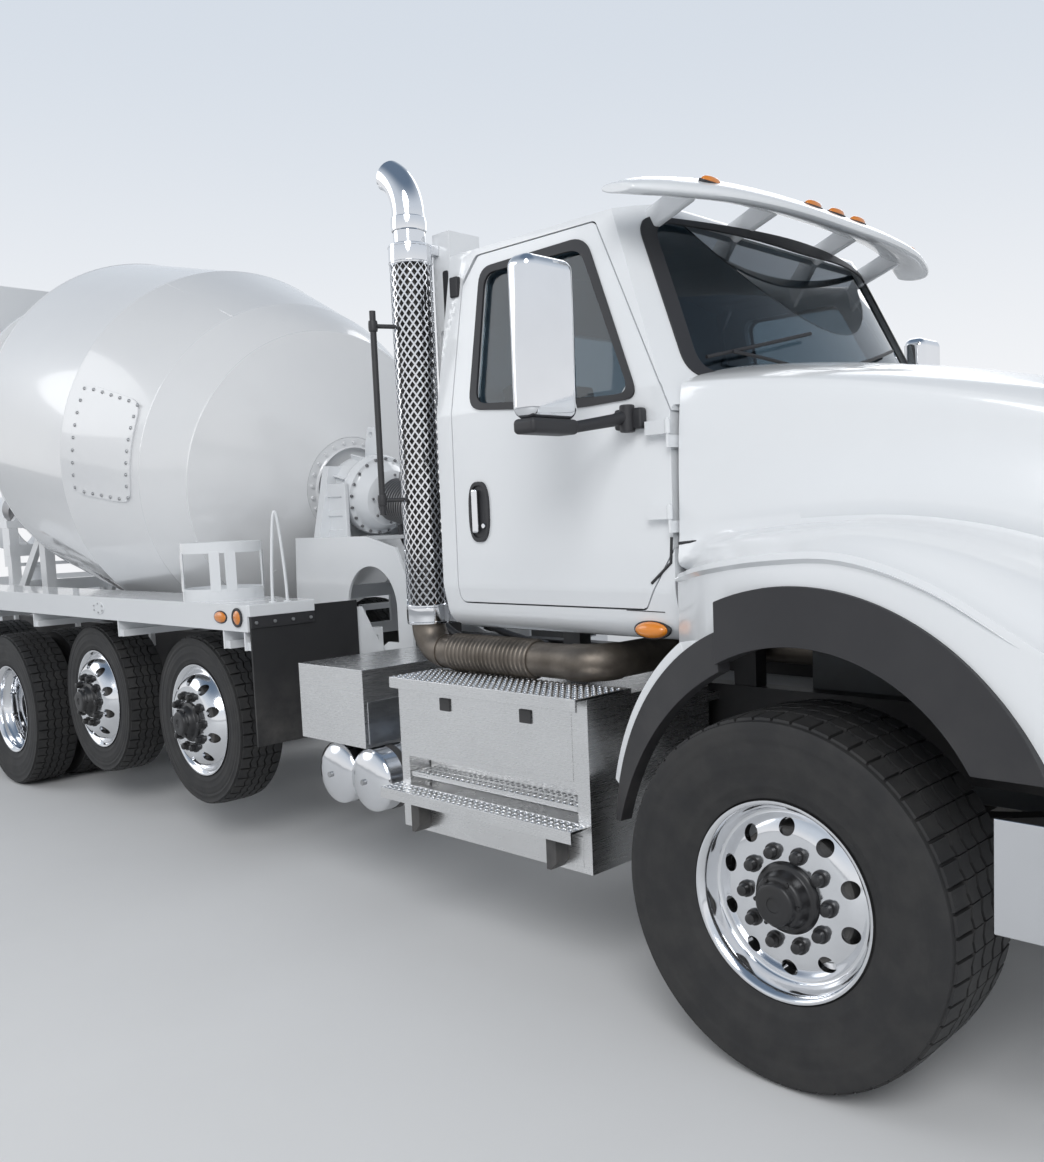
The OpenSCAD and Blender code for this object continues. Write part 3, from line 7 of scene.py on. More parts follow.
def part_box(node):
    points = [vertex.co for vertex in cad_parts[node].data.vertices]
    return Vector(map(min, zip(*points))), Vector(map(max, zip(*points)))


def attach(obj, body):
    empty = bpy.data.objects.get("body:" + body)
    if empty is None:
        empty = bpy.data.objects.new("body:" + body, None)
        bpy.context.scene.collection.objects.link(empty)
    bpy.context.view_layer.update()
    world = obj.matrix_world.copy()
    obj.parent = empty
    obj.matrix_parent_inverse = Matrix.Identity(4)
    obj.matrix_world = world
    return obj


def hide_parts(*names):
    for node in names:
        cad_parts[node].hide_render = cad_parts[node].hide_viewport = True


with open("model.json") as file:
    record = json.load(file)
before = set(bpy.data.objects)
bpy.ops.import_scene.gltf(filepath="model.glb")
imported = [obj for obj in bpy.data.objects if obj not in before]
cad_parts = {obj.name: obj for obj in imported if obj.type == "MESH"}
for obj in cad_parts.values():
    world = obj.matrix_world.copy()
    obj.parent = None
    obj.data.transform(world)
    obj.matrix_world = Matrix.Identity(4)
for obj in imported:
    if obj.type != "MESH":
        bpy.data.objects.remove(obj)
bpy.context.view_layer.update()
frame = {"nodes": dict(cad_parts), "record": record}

nodes = frame["nodes"]
# Everything behind the front axle is given from that axle, as on a drawing of the truck
axleX = 4.2
# How far frame, cab and body stand up on their springs
lift = 0.055
# Points nearer than this become one, in made meshes and in the loose triangles of the CAD
mergeGap = 0.00002
cadMergeGap = 0.00005


def clearSelection():
    if bpy.context.object and bpy.context.object.mode != "OBJECT":
        bpy.ops.object.mode_set(mode="OBJECT")
    bpy.ops.object.select_all(action="DESELECT")


def takeUp(piece):
    clearSelection()
    piece.select_set(True)
    bpy.context.view_layer.objects.active = piece
    return piece


# Runs mesh operators, each given with its settings, on all of a piece
def edited(piece, *steps):
    takeUp(piece)
    bpy.ops.object.mode_set(mode="EDIT")
    bpy.ops.mesh.select_all(action="SELECT")
    for operator, settings in steps:
        operator(**settings)
    bpy.ops.object.mode_set(mode="OBJECT")
    return piece


def settle(piece):
    takeUp(piece)
    bpy.ops.object.transform_apply(location=True, rotation=True, scale=True)
    return piece


def applyModifiers(piece):
    takeUp(piece)
    for modifier in list(piece.modifiers):
        bpy.ops.object.modifier_apply(modifier=modifier.name)
    return piece


def moved(piece, matrix):
    piece.data.transform(matrix)
    if matrix.determinant() < 0:
        piece.data.flip_normals()
    piece.data.update()
    return piece


def at(x, y, z):
    return Matrix.Translation((x, y, z))


def turn(angle, axis):
    return Matrix.Rotation(math.radians(angle), 4, axis)


# Turns local +Z outwards from the truck's side
def outwardFrom(x, y, z, side):
    return at(x, side * y, z) @ turn(-90 * side, "X")


mirrorY = Matrix.Diagonal((1, -1, 1, 1))
# Sets an outline given in Y and Z upright, facing forward
facingForward = turn(90, "Z") @ turn(90, "X")


def meshPiece(name, points, faces, edges=()):
    mesh = bpy.data.meshes.new(name)
    mesh.from_pydata([tuple(p) for p in points], list(edges), list(faces))
    piece = bpy.data.objects.new(name, mesh)
    bpy.context.scene.collection.objects.link(piece)
    return piece


def outwards(piece):
    return edited(piece, (bpy.ops.mesh.remove_doubles, {"threshold": mergeGap}),
                  (bpy.ops.mesh.normals_make_consistent, {"inside": False}))


def spinStep(steps, angle, dupli=False):
    return bpy.ops.mesh.spin, {"steps": steps, "dupli": dupli, "angle": angle, "center": (0, 0, 0),
                               "axis": (0, 0, 1)}


def walled(piece, thickness, offset=0):
    wall = piece.modifiers.new("wall", "SOLIDIFY")
    wall.thickness = thickness
    wall.offset = offset
    return applyModifiers(piece)


def bevelled(piece, width, segments=2, angle=35):
    modifier = piece.modifiers.new("edges", "BEVEL")
    modifier.width = width
    modifier.segments = segments
    modifier.limit_method = "ANGLE"
    modifier.angle_limit = math.radians(angle)
    return applyModifiers(piece)


# A profile of (radius, height) points turned round the local Z axis, then set on an axis in the frame
def spun(name, profile, matrix=Matrix.Identity(4), steps=96, closed=False):
    count = len(profile)
    edges = [(i, i + 1) for i in range(count - 1)] + ([(count - 1, 0)] if closed else [])
    piece = edited(meshPiece(name, [(r, 0, h) for r, h in profile], [], edges), spinStep(steps, math.tau))
    return moved(outwards(piece), matrix)


# A flat outline pushed along its own Z
def plate(name, outline, depth, matrix=Matrix.Identity(4), bevel=0.0, segments=2):
    piece = meshPiece(name, [(u, v, 0) for u, v in outline], [tuple(range(len(outline)))])
    edited(piece, (bpy.ops.mesh.extrude_region_move, {"TRANSFORM_OT_translate": {"value": (0, 0, depth)}}))
    outwards(piece)
    if bevel:
        bevelled(piece, bevel, segments)
    return moved(piece, matrix)


def block(name, low, high, bevel=0.002, segments=2):
    clearSelection()
    size = [h - l for l, h in zip(low, high)]
    middle = [(h + l) / 2 for l, h in zip(low, high)]
    bpy.ops.mesh.primitive_cube_add(size=1, location=middle, scale=size)
    piece = bpy.context.object
    piece.name = name
    settle(piece)
    return bevelled(piece, min(bevel, min(size) * 0.45), segments) if bevel else piece


# A block whose Y is given outwards from the truck's middle, for either side
def sideBlock(name, side, low, high, *edge):
    y0, y1 = sorted((side * low[1], side * high[1]))
    return block(name, (low[0], y0, low[2]), (high[0], y1, high[2]), *edge)


def roundStock(name, radius, depth, matrix, bevel=0.003, sides=32):
    clearSelection()
    bpy.ops.mesh.primitive_cylinder_add(vertices=sides, radius=radius, depth=depth,
                                        location=(0, 0, depth / 2))
    piece = bpy.context.object
    piece.name = name
    settle(piece)
    if bevel:
        bevelled(piece, bevel)
    return moved(piece, matrix)


# Round bar along a path of points
def bar(name, path, radius, sides=6, smooth=False):
    curve = bpy.data.curves.new(name, "CURVE")
    curve.dimensions = "3D"
    curve.bevel_depth = radius
    curve.bevel_resolution = sides
    curve.use_fill_caps = True
    spline = curve.splines.new("NURBS" if smooth else "POLY")
    spline.points.add(len(path) - 1)
    for point, place in zip(spline.points, path):
        point.co = (*place, 1)
    if smooth:
        spline.order_u = 4
        spline.use_endpoint_u = True
        curve.resolution_u = 6
    piece = bpy.data.objects.new(name, curve)
    bpy.context.scene.collection.objects.link(piece)
    takeUp(piece)
    bpy.ops.object.convert(target="MESH")
    return outwards(bpy.context.object)


def copied(piece, matrix, name=None):
    twin = bpy.data.objects.new(name or piece.name, piece.data.copy())
    bpy.context.scene.collection.objects.link(twin)
    return moved(twin, matrix)


def joined(name, parts):
    clearSelection()
    for part in parts:
        part.select_set(True)
    bpy.context.view_layer.objects.active = parts[0]
    if len(parts) > 1:
        bpy.ops.object.join()
    parts[0].name = name
    parts[0].data.name = name
    return parts[0]


def cut(piece, tool):
    modifier = piece.modifiers.new("cut", "BOOLEAN")
    modifier.object = tool
    modifier.operation = "DIFFERENCE"
    modifier.solver = "EXACT"
    applyModifiers(piece)
    bpy.data.objects.remove(tool)
    return piece


# The finish is the slot's own unless another is named
def dress(piece, body, slotName, hides=(), smoothAngle=35, finish=None):
    piece.data.materials.clear()
    piece.data.materials.append(finishes[finish or slotFinish[slotName]])
    takeUp(piece)
    bpy.ops.object.shade_smooth_by_angle(angle=math.radians(smoothAngle))
    even = piece.modifiers.new("even", "WEIGHTED_NORMAL")  # keeps broad panels flat beside their eased edges
    even.keep_sharp = True
    applyModifiers(piece)
    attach(piece, body)
    if hides:
        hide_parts(*hides)
    return piece


def fitted(name, parts, *dressing, **more):
    return dress(joined(name, parts), *dressing, **more)


# Rows of values with smooth steps between them
def throughPoints(values, steps):
    made = []
    last = len(values) - 1
    for i in range(last):
        a, b, c, d = (values[max(0, min(last, i + k))] for k in (-1, 0, 1, 2))
        for s in range(steps):
            t = s / steps
            made.append([
                q + 0.5 * t * (r - p + t * (2 * p - 5 * q + 4 * r - e + t * (3 * (q - r) + e - p)))
                for p, q, r, e in zip(a, b, c, d)])
    made.append(list(values[last]))
    return made


def gridFaces(rows, columns, loop=False):
    faces = []
    for i in range(rows - 1):
        for k in range(columns if loop else columns - 1):
            n = (k + 1) % columns
            faces.append((i * columns + k, i * columns + n, (i + 1) * columns + n, (i + 1) * columns + k))
    return faces


print("helpers ready")

# Finishes


def newGroup(name, inputs, outputs):
    group = bpy.data.node_groups.new(name, "ShaderNodeTree")
    for label, kind, value in inputs:
        socket = group.interface.new_socket(name=label, in_out="INPUT", socket_type="NodeSocket" + kind)
        if value is not None:
            socket.default_value = value
    for label, kind in outputs:
        group.interface.new_socket(name=label, in_out="OUTPUT", socket_type="NodeSocket" + kind)
    return group, group.nodes.new("NodeGroupInput").outputs, group.nodes.new("NodeGroupOutput").inputs


def feed(tree, node, links):
    for socket, value in links.items():
        if isinstance(value, bpy.types.NodeSocket):
            tree.links.new(value, node.inputs[socket])
        else:
            node.inputs[socket].default_value = value
    return node


def addNode(tree, kind, links=(), **settings):
    node = tree.nodes.new("ShaderNode" + kind)
    for key, value in settings.items():
        setattr(node, key, value)
    return feed(tree, node, dict(links))


def mathNode(tree, operation, a, b, clamp=False):
    return addNode(tree, "Math", {0: a, 1: b}, operation=operation, use_clamp=clamp).outputs[0]


def mixColor(tree, factor, a, b):
    return addNode(tree, "Mix", {0: factor, 6: a, 7: b}, data_type="RGBA").outputs[2]


def buildGrain():
    group, given, out = newGroup("surfaceGrain", [
        ("Vector", "Vector", None), ("Scale", "Float", 200.0), ("Stretch", "Vector", (1, 1, 1))],
        [("Value", "Float"), ("Height", "Float")])
    stretched = addNode(group, "VectorMath", {0: given["Vector"], 1: given["Stretch"]},
                        operation="MULTIPLY").outputs[0]
    fine = addNode(group, "TexNoise", {"Vector": stretched, "Scale": given["Scale"], "Detail": 3.0})
    coarse = addNode(group, "TexNoise", {
        "Vector": stretched, "Scale": mathNode(group, "MULTIPLY", given["Scale"], 0.17), "Detail": 2.0})
    both = mathNode(group, "ADD", mathNode(group, "MULTIPLY", fine.outputs[0], 0.65),
                    mathNode(group, "MULTIPLY", coarse.outputs[0], 0.35))
    group.links.new(both, out["Value"])
    group.links.new(both, out["Height"])
    return group


def buildPatina():
    group, given, out = newGroup("slowPatina", [
        ("Vector", "Vector", None), ("Color", "Color", (1, 1, 1, 1)), ("Second", "Color", (0.8, 0.8, 0.8, 1)),
        ("Scale", "Float", 3.0), ("Amount", "Float", 0.5)], [("Color", "Color"), ("Mask", "Float")])
    cloud = addNode(group, "TexNoise", {"Vector": given["Vector"], "Scale": given["Scale"], "Detail": 5.0,
                                        "Roughness": 0.6})
    ramp = addNode(group, "MapRange", {0: cloud.outputs[0], 1: 0.35, 2: 0.7}, interpolation_type="SMOOTHSTEP")
    mask = mathNode(group, "MULTIPLY", ramp.outputs[0], given["Amount"], clamp=True)
    group.links.new(mixColor(group, mask, given["Color"], given["Second"]), out["Color"])
    group.links.new(mask, out["Mask"])
    return group


def buildDust():
    group, given, out = newGroup("roadDust", [
        ("Vector", "Vector", None), ("Color", "Color", (1, 1, 1, 1)),
        ("Dust", "Color", (0.36, 0.34, 0.31, 1)),
        ("Top", "Float", 1.2), ("Amount", "Float", 0.4)], [("Color", "Color"), ("Mask", "Float")])
    height = addNode(group, "SeparateXYZ", {0: given["Vector"]}).outputs[2]
    fall = addNode(group, "MapRange", {0: height, 1: given["Top"], 2: 0.05, 3: 0.0, 4: 1.0},
                   interpolation_type="SMOOTHSTEP").outputs[0]
    cloud = addNode(group, "TexNoise", {"Vector": given["Vector"], "Scale": 7.0, "Detail": 6.0,
                                        "Roughness": 0.65})
    patchy = addNode(group, "MapRange", {0: cloud.outputs[0], 1: 0.3, 2: 0.75}).outputs[0]
    mask = mathNode(group, "MULTIPLY", mathNode(group, "MULTIPLY", fall, patchy), given["Amount"], clamp=True)
    group.links.new(mixColor(group, mask, given["Color"], given["Dust"]), out["Color"])
    group.links.new(mask, out["Mask"])
    return group


groups = {"grain": buildGrain(), "patina": buildPatina(), "dust": buildDust()}


def groupNode(tree, key, links):
    node = tree.nodes.new("ShaderNodeGroup")
    node.node_tree = groups[key]
    return feed(tree, node, links).outputs


def surface(name, color, second, roughness, grainScale, bumpStrength, look):
    material = bpy.data.materials.new(name)
    material.use_nodes = True
    tree = material.node_tree
    shader = tree.nodes["Principled BSDF"]
    place = addNode(tree, "TexCoord").outputs["Object"]
    patina = groupNode(tree, "patina", {
        "Vector": place, "Color": (*color, 1), "Second": (*(second or color), 1),
        "Scale": look.get("patinaScale", 2.0), "Amount": look.get("patina", 0.5)})
    dust = groupNode(tree, "dust", {
        "Vector": place, "Color": patina["Color"], "Top": look.get("dustTop", 1.0),
        "Amount": look.get("dust", 0.0)})
    grain = groupNode(tree, "grain", {
        "Vector": place, "Scale": grainScale, "Stretch": look.get("stretch", (1, 1, 1))})
    tree.links.new(dust["Color"], shader.inputs["Base Color"])
    rough = mathNode(tree, "MULTIPLY_ADD", grain["Value"], look.get("roughSpread", 0.08))
    rough.node.inputs[2].default_value = roughness - look.get("roughSpread", 0.08) / 2
    dusty = mathNode(tree, "MULTIPLY", dust["Mask"], 0.5)
    rough = mathNode(tree, "ADD", rough, dusty, clamp=True)
    tree.links.new(rough, shader.inputs["Roughness"])
    shader.inputs["Metallic"].default_value = look.get("metallic", 0.0)
    for socket in ("Coat Weight", "Coat Roughness", "IOR", "Transmission Weight", "Specular IOR Level"):
        if socket in look:
            shader.inputs[socket].default_value = look[socket]
    bump = addNode(tree, "Bump", {"Strength": bumpStrength, "Distance": look.get("bumpDepth", 0.0004),
                                  "Height": grain["Height"]})
    tree.links.new(bump.outputs[0], shader.inputs["Normal"])
    return material


# Colour, second colour, roughness, grain scale and bump, then what differs from the common values
looks = {
    "whitePaint": ((0.8, 0.82, 0.84), (0.77, 0.79, 0.815), 0.22, 260.0, 0.03,
        {"roughSpread": 0.05, "Coat Weight": 0.6, "Coat Roughness": 0.06, "dust": 0.16, "dustTop": 1.5,
         "patinaScale": 1.1}),
    "drumPaint": ((0.8, 0.81, 0.82), (0.75, 0.76, 0.78), 0.2, 90.0, 0.06,
        {"roughSpread": 0.08, "Coat Weight": 0.8, "Coat Roughness": 0.05, "patinaScale": 0.9}),
    "frameBlack": ((0.03, 0.03, 0.033), (0.055, 0.053, 0.05), 0.48, 180.0, 0.15,
        {"dust": 0.45, "dustTop": 1.1, "patinaScale": 4.0}),
    "axleBlack": ((0.035, 0.035, 0.037), (0.07, 0.06, 0.05), 0.6, 120.0, 0.35,
        {"roughSpread": 0.15, "dust": 0.6, "dustTop": 1.0, "patinaScale": 6.0}),
    "engineGrey": ((0.1, 0.11, 0.12), (0.06, 0.06, 0.06), 0.55, 120.0, 0.3,
        {"dust": 0.3, "dustTop": 1.6, "patinaScale": 5.0}),
    "chrome": ((0.8, 0.81, 0.83), (0.72, 0.73, 0.75), 0.06, 60.0, 0.015,
               {"metallic": 1.0, "roughSpread": 0.05}),
    "bumperSteel": ((0.66, 0.67, 0.69), (0.58, 0.59, 0.6), 0.22, 400.0, 0.06,
        {"metallic": 1.0, "roughSpread": 0.12, "stretch": (1, 0.03, 1)}),
    "polishedAluminium": ((0.78, 0.79, 0.81), (0.68, 0.69, 0.71), 0.13, 110.0, 0.04,
        {"metallic": 1.0, "roughSpread": 0.1, "dust": 0.12, "dustTop": 0.8}),
    "brushedAluminium": ((0.8, 0.8, 0.8), (0.68, 0.68, 0.68), 0.27, 500.0, 0.1,
        {"metallic": 1.0, "roughSpread": 0.2, "stretch": (0.03, 0.03, 1), "dust": 0.2, "dustTop": 0.9}),
    "exhaustSteel": ((0.19, 0.165, 0.14), (0.1, 0.085, 0.07), 0.45, 160.0, 0.15,
        {"metallic": 0.85, "roughSpread": 0.2, "patinaScale": 7.0, "patina": 0.8}),
    # Darker steel for the pipe inside the stack's guard: painted shade
    "guardShadeSteel": ((0.045, 0.043, 0.042), (0.09, 0.08, 0.07), 0.42, 160.0, 0.1,
        {"metallic": 0.7, "roughSpread": 0.2, "patinaScale": 6.0}),
    "blackPlastic": ((0.022, 0.022, 0.025), (0.035, 0.035, 0.038), 0.5, 900.0, 0.25,
        {"roughSpread": 0.1, "bumpDepth": 0.0003, "dust": 0.18, "dustTop": 1.6}),
    "grilleGrey": ((0.4, 0.41, 0.43), (0.34, 0.35, 0.37), 0.32, 300.0, 0.05, {"metallic": 0.6}),
    "interior": ((0.045, 0.048, 0.052), (0.07, 0.07, 0.075), 0.75, 700.0, 0.4, {"patinaScale": 5.0}),
    "flapRubber": ((0.016, 0.016, 0.018), (0.03, 0.03, 0.03), 0.6, 150.0, 0.2,
        {"roughSpread": 0.15, "dust": 0.5, "dustTop": 1.2}),
    "tyreRubber": ((0.018, 0.018, 0.019), (0.034, 0.033, 0.032), 0.68, 260.0, 0.3,
        {"roughSpread": 0.14, "patinaScale": 9.0, "patina": 0.7}),
    "wheelAlloy": ((0.8, 0.81, 0.83), (0.7, 0.71, 0.73), 0.12, 140.0, 0.03,
        {"metallic": 1.0, "roughSpread": 0.09, "patinaScale": 8.0}),
    "hubBlack": ((0.018, 0.018, 0.02), (0.035, 0.033, 0.03), 0.38, 200.0, 0.15, {}),
    "rollerSteel": ((0.34, 0.34, 0.35), (0.22, 0.2, 0.18), 0.35, 200.0, 0.1,
        {"metallic": 0.9, "roughSpread": 0.2, "stretch": (1, 0.1, 1)}),
    "amberLens": ((0.78, 0.25, 0.02), (0.6, 0.17, 0.015), 0.18, 120.0, 0.12,
        {"Coat Weight": 0.7, "Coat Roughness": 0.05}),
    "redLens": ((0.45, 0.02, 0.015), (0.3, 0.015, 0.01), 0.18, 120.0, 0.12,
        {"Coat Weight": 0.7, "Coat Roughness": 0.05}),
    "clearLens": ((0.85, 0.88, 0.9), None, 0.08, 60.0, 0.08,
        {"roughSpread": 0.04, "Transmission Weight": 0.75, "IOR": 1.45}),
    "tintedGlass": ((0.24, 0.3, 0.34), (0.21, 0.27, 0.31), 0.02, 4.0, 0.01,
        {"roughSpread": 0.02, "Transmission Weight": 1.0, "IOR": 1.45}),
    "hatchBolt": ((0.42, 0.43, 0.44), (0.3, 0.3, 0.3), 0.4, 300.0, 0.05, {"metallic": 0.7}),
    "mirrorGlass": ((0.62, 0.66, 0.68), None, 0.03, 5.0, 0.0, {"metallic": 1.0, "roughSpread": 0.02}),
}
finishes = {name: surface(name, *look) for name, look in looks.items()}
slotFinish = {
    "white_paint": "whitePaint", "drum_paint": "drumPaint", "frame_black": "frameBlack",
    "axle_black": "axleBlack", "engine_grey": "engineGrey", "chrome": "chrome", "bumper_steel": "bumperSteel",
    "polished_aluminium": "polishedAluminium", "brushed_aluminium": "brushedAluminium",
    "exhaust_steel": "exhaustSteel", "glass_tint": "tintedGlass", "lamp_clear": "clearLens",
    "lamp_amber": "amberLens", "black_plastic": "blackPlastic", "grille_grey": "grilleGrey",
    "interior": "interior", "flap_rubber": "flapRubber", "tyre": "tyreRubber", "wheel_alloy": "wheelAlloy",
    "roller_steel": "rollerSteel"}
print("finishes ready")

# Nodes that keep their own form: a merged copy with eased edges
nodeSlot = {part["node"]: part["material_slot"] for part in frame["record"]["subparts"]}
nodeBody = {name: body for body, names in frame["record"]["behaviour"]["bodies"].items() for name in names}


# The bucket rack and its rod are made again further on, so they come off the deck here
trims = {"side_decks": (((axleX - 3.560, -1.235, 1.3576), (axleX - 2.950, -0.800, 1.860)),)}


def eased(name, width):
    piece = meshPiece(name + "Finished", [], [])
    piece.data = nodes[name].data.copy()
    edited(piece, (bpy.ops.mesh.remove_doubles, {"threshold": cadMergeGap}),
           (bpy.ops.mesh.dissolve_limited, {"angle_limit": math.radians(0.6)}))
    for low, high in trims.get(name, ()):
        cut(piece, block("tool", low, high, 0))
    if width:
        bevelled(piece, width)
    return dress(piece, nodeBody[name], nodeSlot[name], (name,), 32)


easedWidths = {
    "frame_rails": 0.003, "front_axle": 0.006, "engine_block": 0.012, "front_bumper": 0.004,
    "cab_shell": 0.004, "cab_interior": 0.010, "exhaust_pipe": 0.0, "stack_column": 0.006,
    "step_boxes": 0.002, "pusher_axles": 0.004, "drive_axles": 0.005, "side_decks": 0.002, "mud_flaps": 0.002,
    "front_pedestal": 0.003, "rear_pedestal": 0.004, "drum_rollers": 0.006, "charge_hopper": 0.002,
    "door_right": 0.004, "door_left": 0.004, "chute_turret": 0.003, "chute_main": 0.0015,
    "chute_fold": 0.0015, "knuckle_right": 0.004, "knuckle_left": 0.004, "tie_rod": 0.002, "tanks": 0.0,
    "fender_flares": 0.008}
for name, width in easedWidths.items():
    eased(name, width)
for name, piece in nodes.items():
    piece.data.materials.clear()
    piece.data.materials.append(finishes[slotFinish[nodeSlot[name]]])
print("carried-over nodes finished")

# Wheels and tyres, modelled lying down with local +Z outwards


def softened(profile, closed=True):
    made = []
    count = len(profile)
    for i in range(count if closed else count - 1):
        (a, b), (c, d) = profile[i], profile[(i + 1) % count]
        made += [(a * 0.75 + c * 0.25, b * 0.75 + d * 0.25), (a * 0.25 + c * 0.75, b * 0.25 + d * 0.75)]
    return made if closed else [profile[0]] + made + [profile[-1]]


def spinCopies(piece, count):
    return edited(piece, spinStep(count - 1, math.tau * (count - 1) / count, True))


tyreLook = {"beadRadius": 0.2863, "grooveDepth": 0.014, "ribs": ((-1.0, -0.60), (-0.52, -0.23), (-0.15, 0.15),
            (0.23, 0.52), (0.60, 1.0)), "zigzag": 0.006, "sipe": 0.0035,
            "shoulderSipe": 0.011, "pitch": 0.066}


def treadPitch(radius, half, count):
    blocks = []
    angle = math.tau / count
    floor = radius - tyreLook["grooveDepth"] - 0.002
    for inner, outer in tyreLook["ribs"]:
        shoulder = max(abs(inner), abs(outer)) > 0.9
        gap = (tyreLook["shoulderSipe"] if shoulder else tyreLook["sipe"]) / radius / 2
        wave = tyreLook["zigzag"]
        points = []
        for top in (0, 1):
            for u, t in ((inner, -1), (inner, 0), (inner, 1), (outer, 1), (outer, 0), (outer, -1)):
                edge = abs(u) > 0.9
                swing = 0 if edge else (wave if t == 0 else -wave)
                spread = (1 - top) * 0.0025 * (1 if u == outer else -1)
                across = u * half + swing + spread
                r = floor if not top else radius - (0.007 if edge else 0.0)
                a = t * (angle / 2 - gap * (1 if top else 0.6))
                points.append((r * math.cos(a), r * math.sin(a), across))
        faces = [(6, 7, 10, 11), (7, 8, 9, 10)] + [(i, (i + 1) % 6, (i + 1) % 6 + 6, i + 6) for i in range(6)]
        blocks.append(outwards(meshPiece("block", points, faces)))
    return joined("treadPitch", blocks)


def tyreForm(name, radius, width, rimHalf):
    bead = tyreLook["beadRadius"]
    beadA, treadA = rimHalf - 0.0144, width / 2 * 0.86
    a0, a1, r0, r1 = rimHalf - 0.003, width / 2 * 0.95, bead + 0.024, radius - 0.030
    side = []
    for i in range(21):
        u = i / 20
        ring = {3: 0.003, 4: 0.003, 9: 0.0015, 10: 0.0015, 15: -0.002, 17: 0.002}.get(i, 0.0)
        bulge = (width / 2 - max(a0, a1)) * math.sin(math.pi * u) - 0.002
        side.append((r0 + (r1 - r0) * u, a0 + (a1 - a0) * u + bulge + ring))
    half = [(bead, beadA), (bead + 0.020, beadA + 0.001)] + side + [
        (radius - 0.018, treadA + 0.014), (radius - 0.0145, treadA + 0.004), (radius - 0.0145, treadA * 0.5)]
    profile = half + [(r, -h) for r, h in reversed(half)]
    casing = spun(name, profile, steps=96, closed=True)
    count = round(math.tau * radius / tyreLook["pitch"])
    tread = spinCopies(treadPitch(radius, treadA, count), count)
    return joined(name, [casing, tread])


def wheelBody(name, outside, rimHalf, holeRadius, discBack, holeRing=0.221):
    inside = [(0.246, 0.112 - rimHalf), (0.272, 0.074 - rimHalf), (0.274, 0.020 - rimHalf), (0.293, -rimHalf),
              (0.3055, -rimHalf), (0.3055, 0.014 - rimHalf), (0.2862, 0.0142 - rimHalf),
              (0.284, 0.070 - rimHalf),
              (0.258, 0.110 - rimHalf), (0.258, rimHalf - 0.082), (0.284, rimHalf - 0.055),
              (0.2862, rimHalf - 0.0142)]
    body = spun(name, softened(outside + discBack + inside), steps=120, closed=True)
    clearSelection()
    bpy.ops.mesh.primitive_cylinder_add(vertices=28, radius=holeRadius, depth=0.5, location=(holeRing, 0, 0))
    drill = settle(bpy.context.object)
    spinCopies(drill, 10)
    cut(body, moved(drill, turn(18, "Z")))
    return bevelled(body, 0.0022, 2, 40)


nutLook = {"ring": 0.143, "count": 10, "height": 0.036}


def nutRing(face):
    tall = nutLook["height"]
    cap = spun("nutCap", [(0, tall), (0.010, tall - 0.001), (0.0165, tall - 0.005), (0.0185, tall - 0.012),
                          (0.0195, 0.010), (0.0255, 0.009), (0.0265, 0.0), (0, 0)],
                          at(nutLook["ring"], 0, face), 18)
    return spinCopies(cap, nutLook["count"])


def hubCap(face, nose, plugs=6):
    cap = spun("hubCap", softened([
        (0.1090, face - 0.012), (0.1085, face + 0.004), (0.1000, face + 0.010), (0.0900, face + 0.012),
        (0.0865, face + 0.020), (0.0820, nose - 0.034), (0.0760, nose - 0.024), (0.0665, nose - 0.022),
        (0.0640, nose - 0.006), (0.0560, nose), (0.0240, nose), (0.0210, nose - 0.006), (0, nose - 0.006)],
        closed=False), steps=48)
    bolt = roundStock("bolt", 0.0075, 0.009, at(0.0735, 0, nose - 0.026), 0.0015, 6)
    return joined("hubCap", [cap, spinCopies(bolt, plugs)])


frontOutside = [(0.3055, 0.1640), (0.2985, 0.1648), (0.2925, 0.1615), (0.2865, 0.1540), (0.2800, 0.1440),
                (0.2765, 0.1300), (0.2735, 0.1120), (0.2695, 0.1000), (0.2640, 0.0950), (0.2580, 0.0940),
                (0.2520, 0.0960), (0.2440, 0.1010), (0.2340, 0.1065), (0.2220, 0.1120), (0.2080, 0.1165),
                (0.1920, 0.1195), (0.1150, 0.1195), (0.1090, 0.1175)]
frontBack = [(0.1090, 0.098), (0.190, 0.098), (0.210, 0.093), (0.228, 0.084), (0.243, 0.070), (0.250, 0.056),
             (0.2460, 0.036)]
pusherOutside = [(0.3055, 0.1172), (0.2985, 0.1178), (0.2925, 0.1150), (0.2860, 0.1080), (0.2790, 0.1010),
                 (0.2760, 0.0930), (0.2720, 0.0915), (0.2660, 0.0980), (0.2560, 0.1120), (0.2440, 0.1290),
                 (0.2300, 0.1450), (0.2140, 0.1575), (0.1980, 0.1650), (0.1850, 0.1675), (0.1150, 0.1675),
                 (0.1090, 0.1655)]
pusherBack = [(0.1090, 0.146), (0.186, 0.146), (0.204, 0.138), (0.218, 0.124), (0.262, 0.068), (0.272, 0.060),
              (0.2720, 0.0560), (0.2460, 0.0340)]
driveOutside = [(0.3055, 0.1172), (0.2985, 0.1178), (0.2925, 0.1150), (0.2860, 0.1080), (0.2780, 0.1000),
                (0.2740, 0.0900), (0.2720, 0.0600), (0.2460, 0.0340), (0.2460, -0.0060), (0.2720, -0.0440),
                (0.2730, -0.0860), (0.2680, -0.0980), (0.2560, -0.1140), (0.2440, -0.1300), (0.2300, -0.1450),
                (0.2140, -0.1580), (0.1950, -0.1660), (0.1850, -0.1675), (0.1100, -0.1675)]


# Between the middles of the two wheels of a pair
twinGap = 0.34


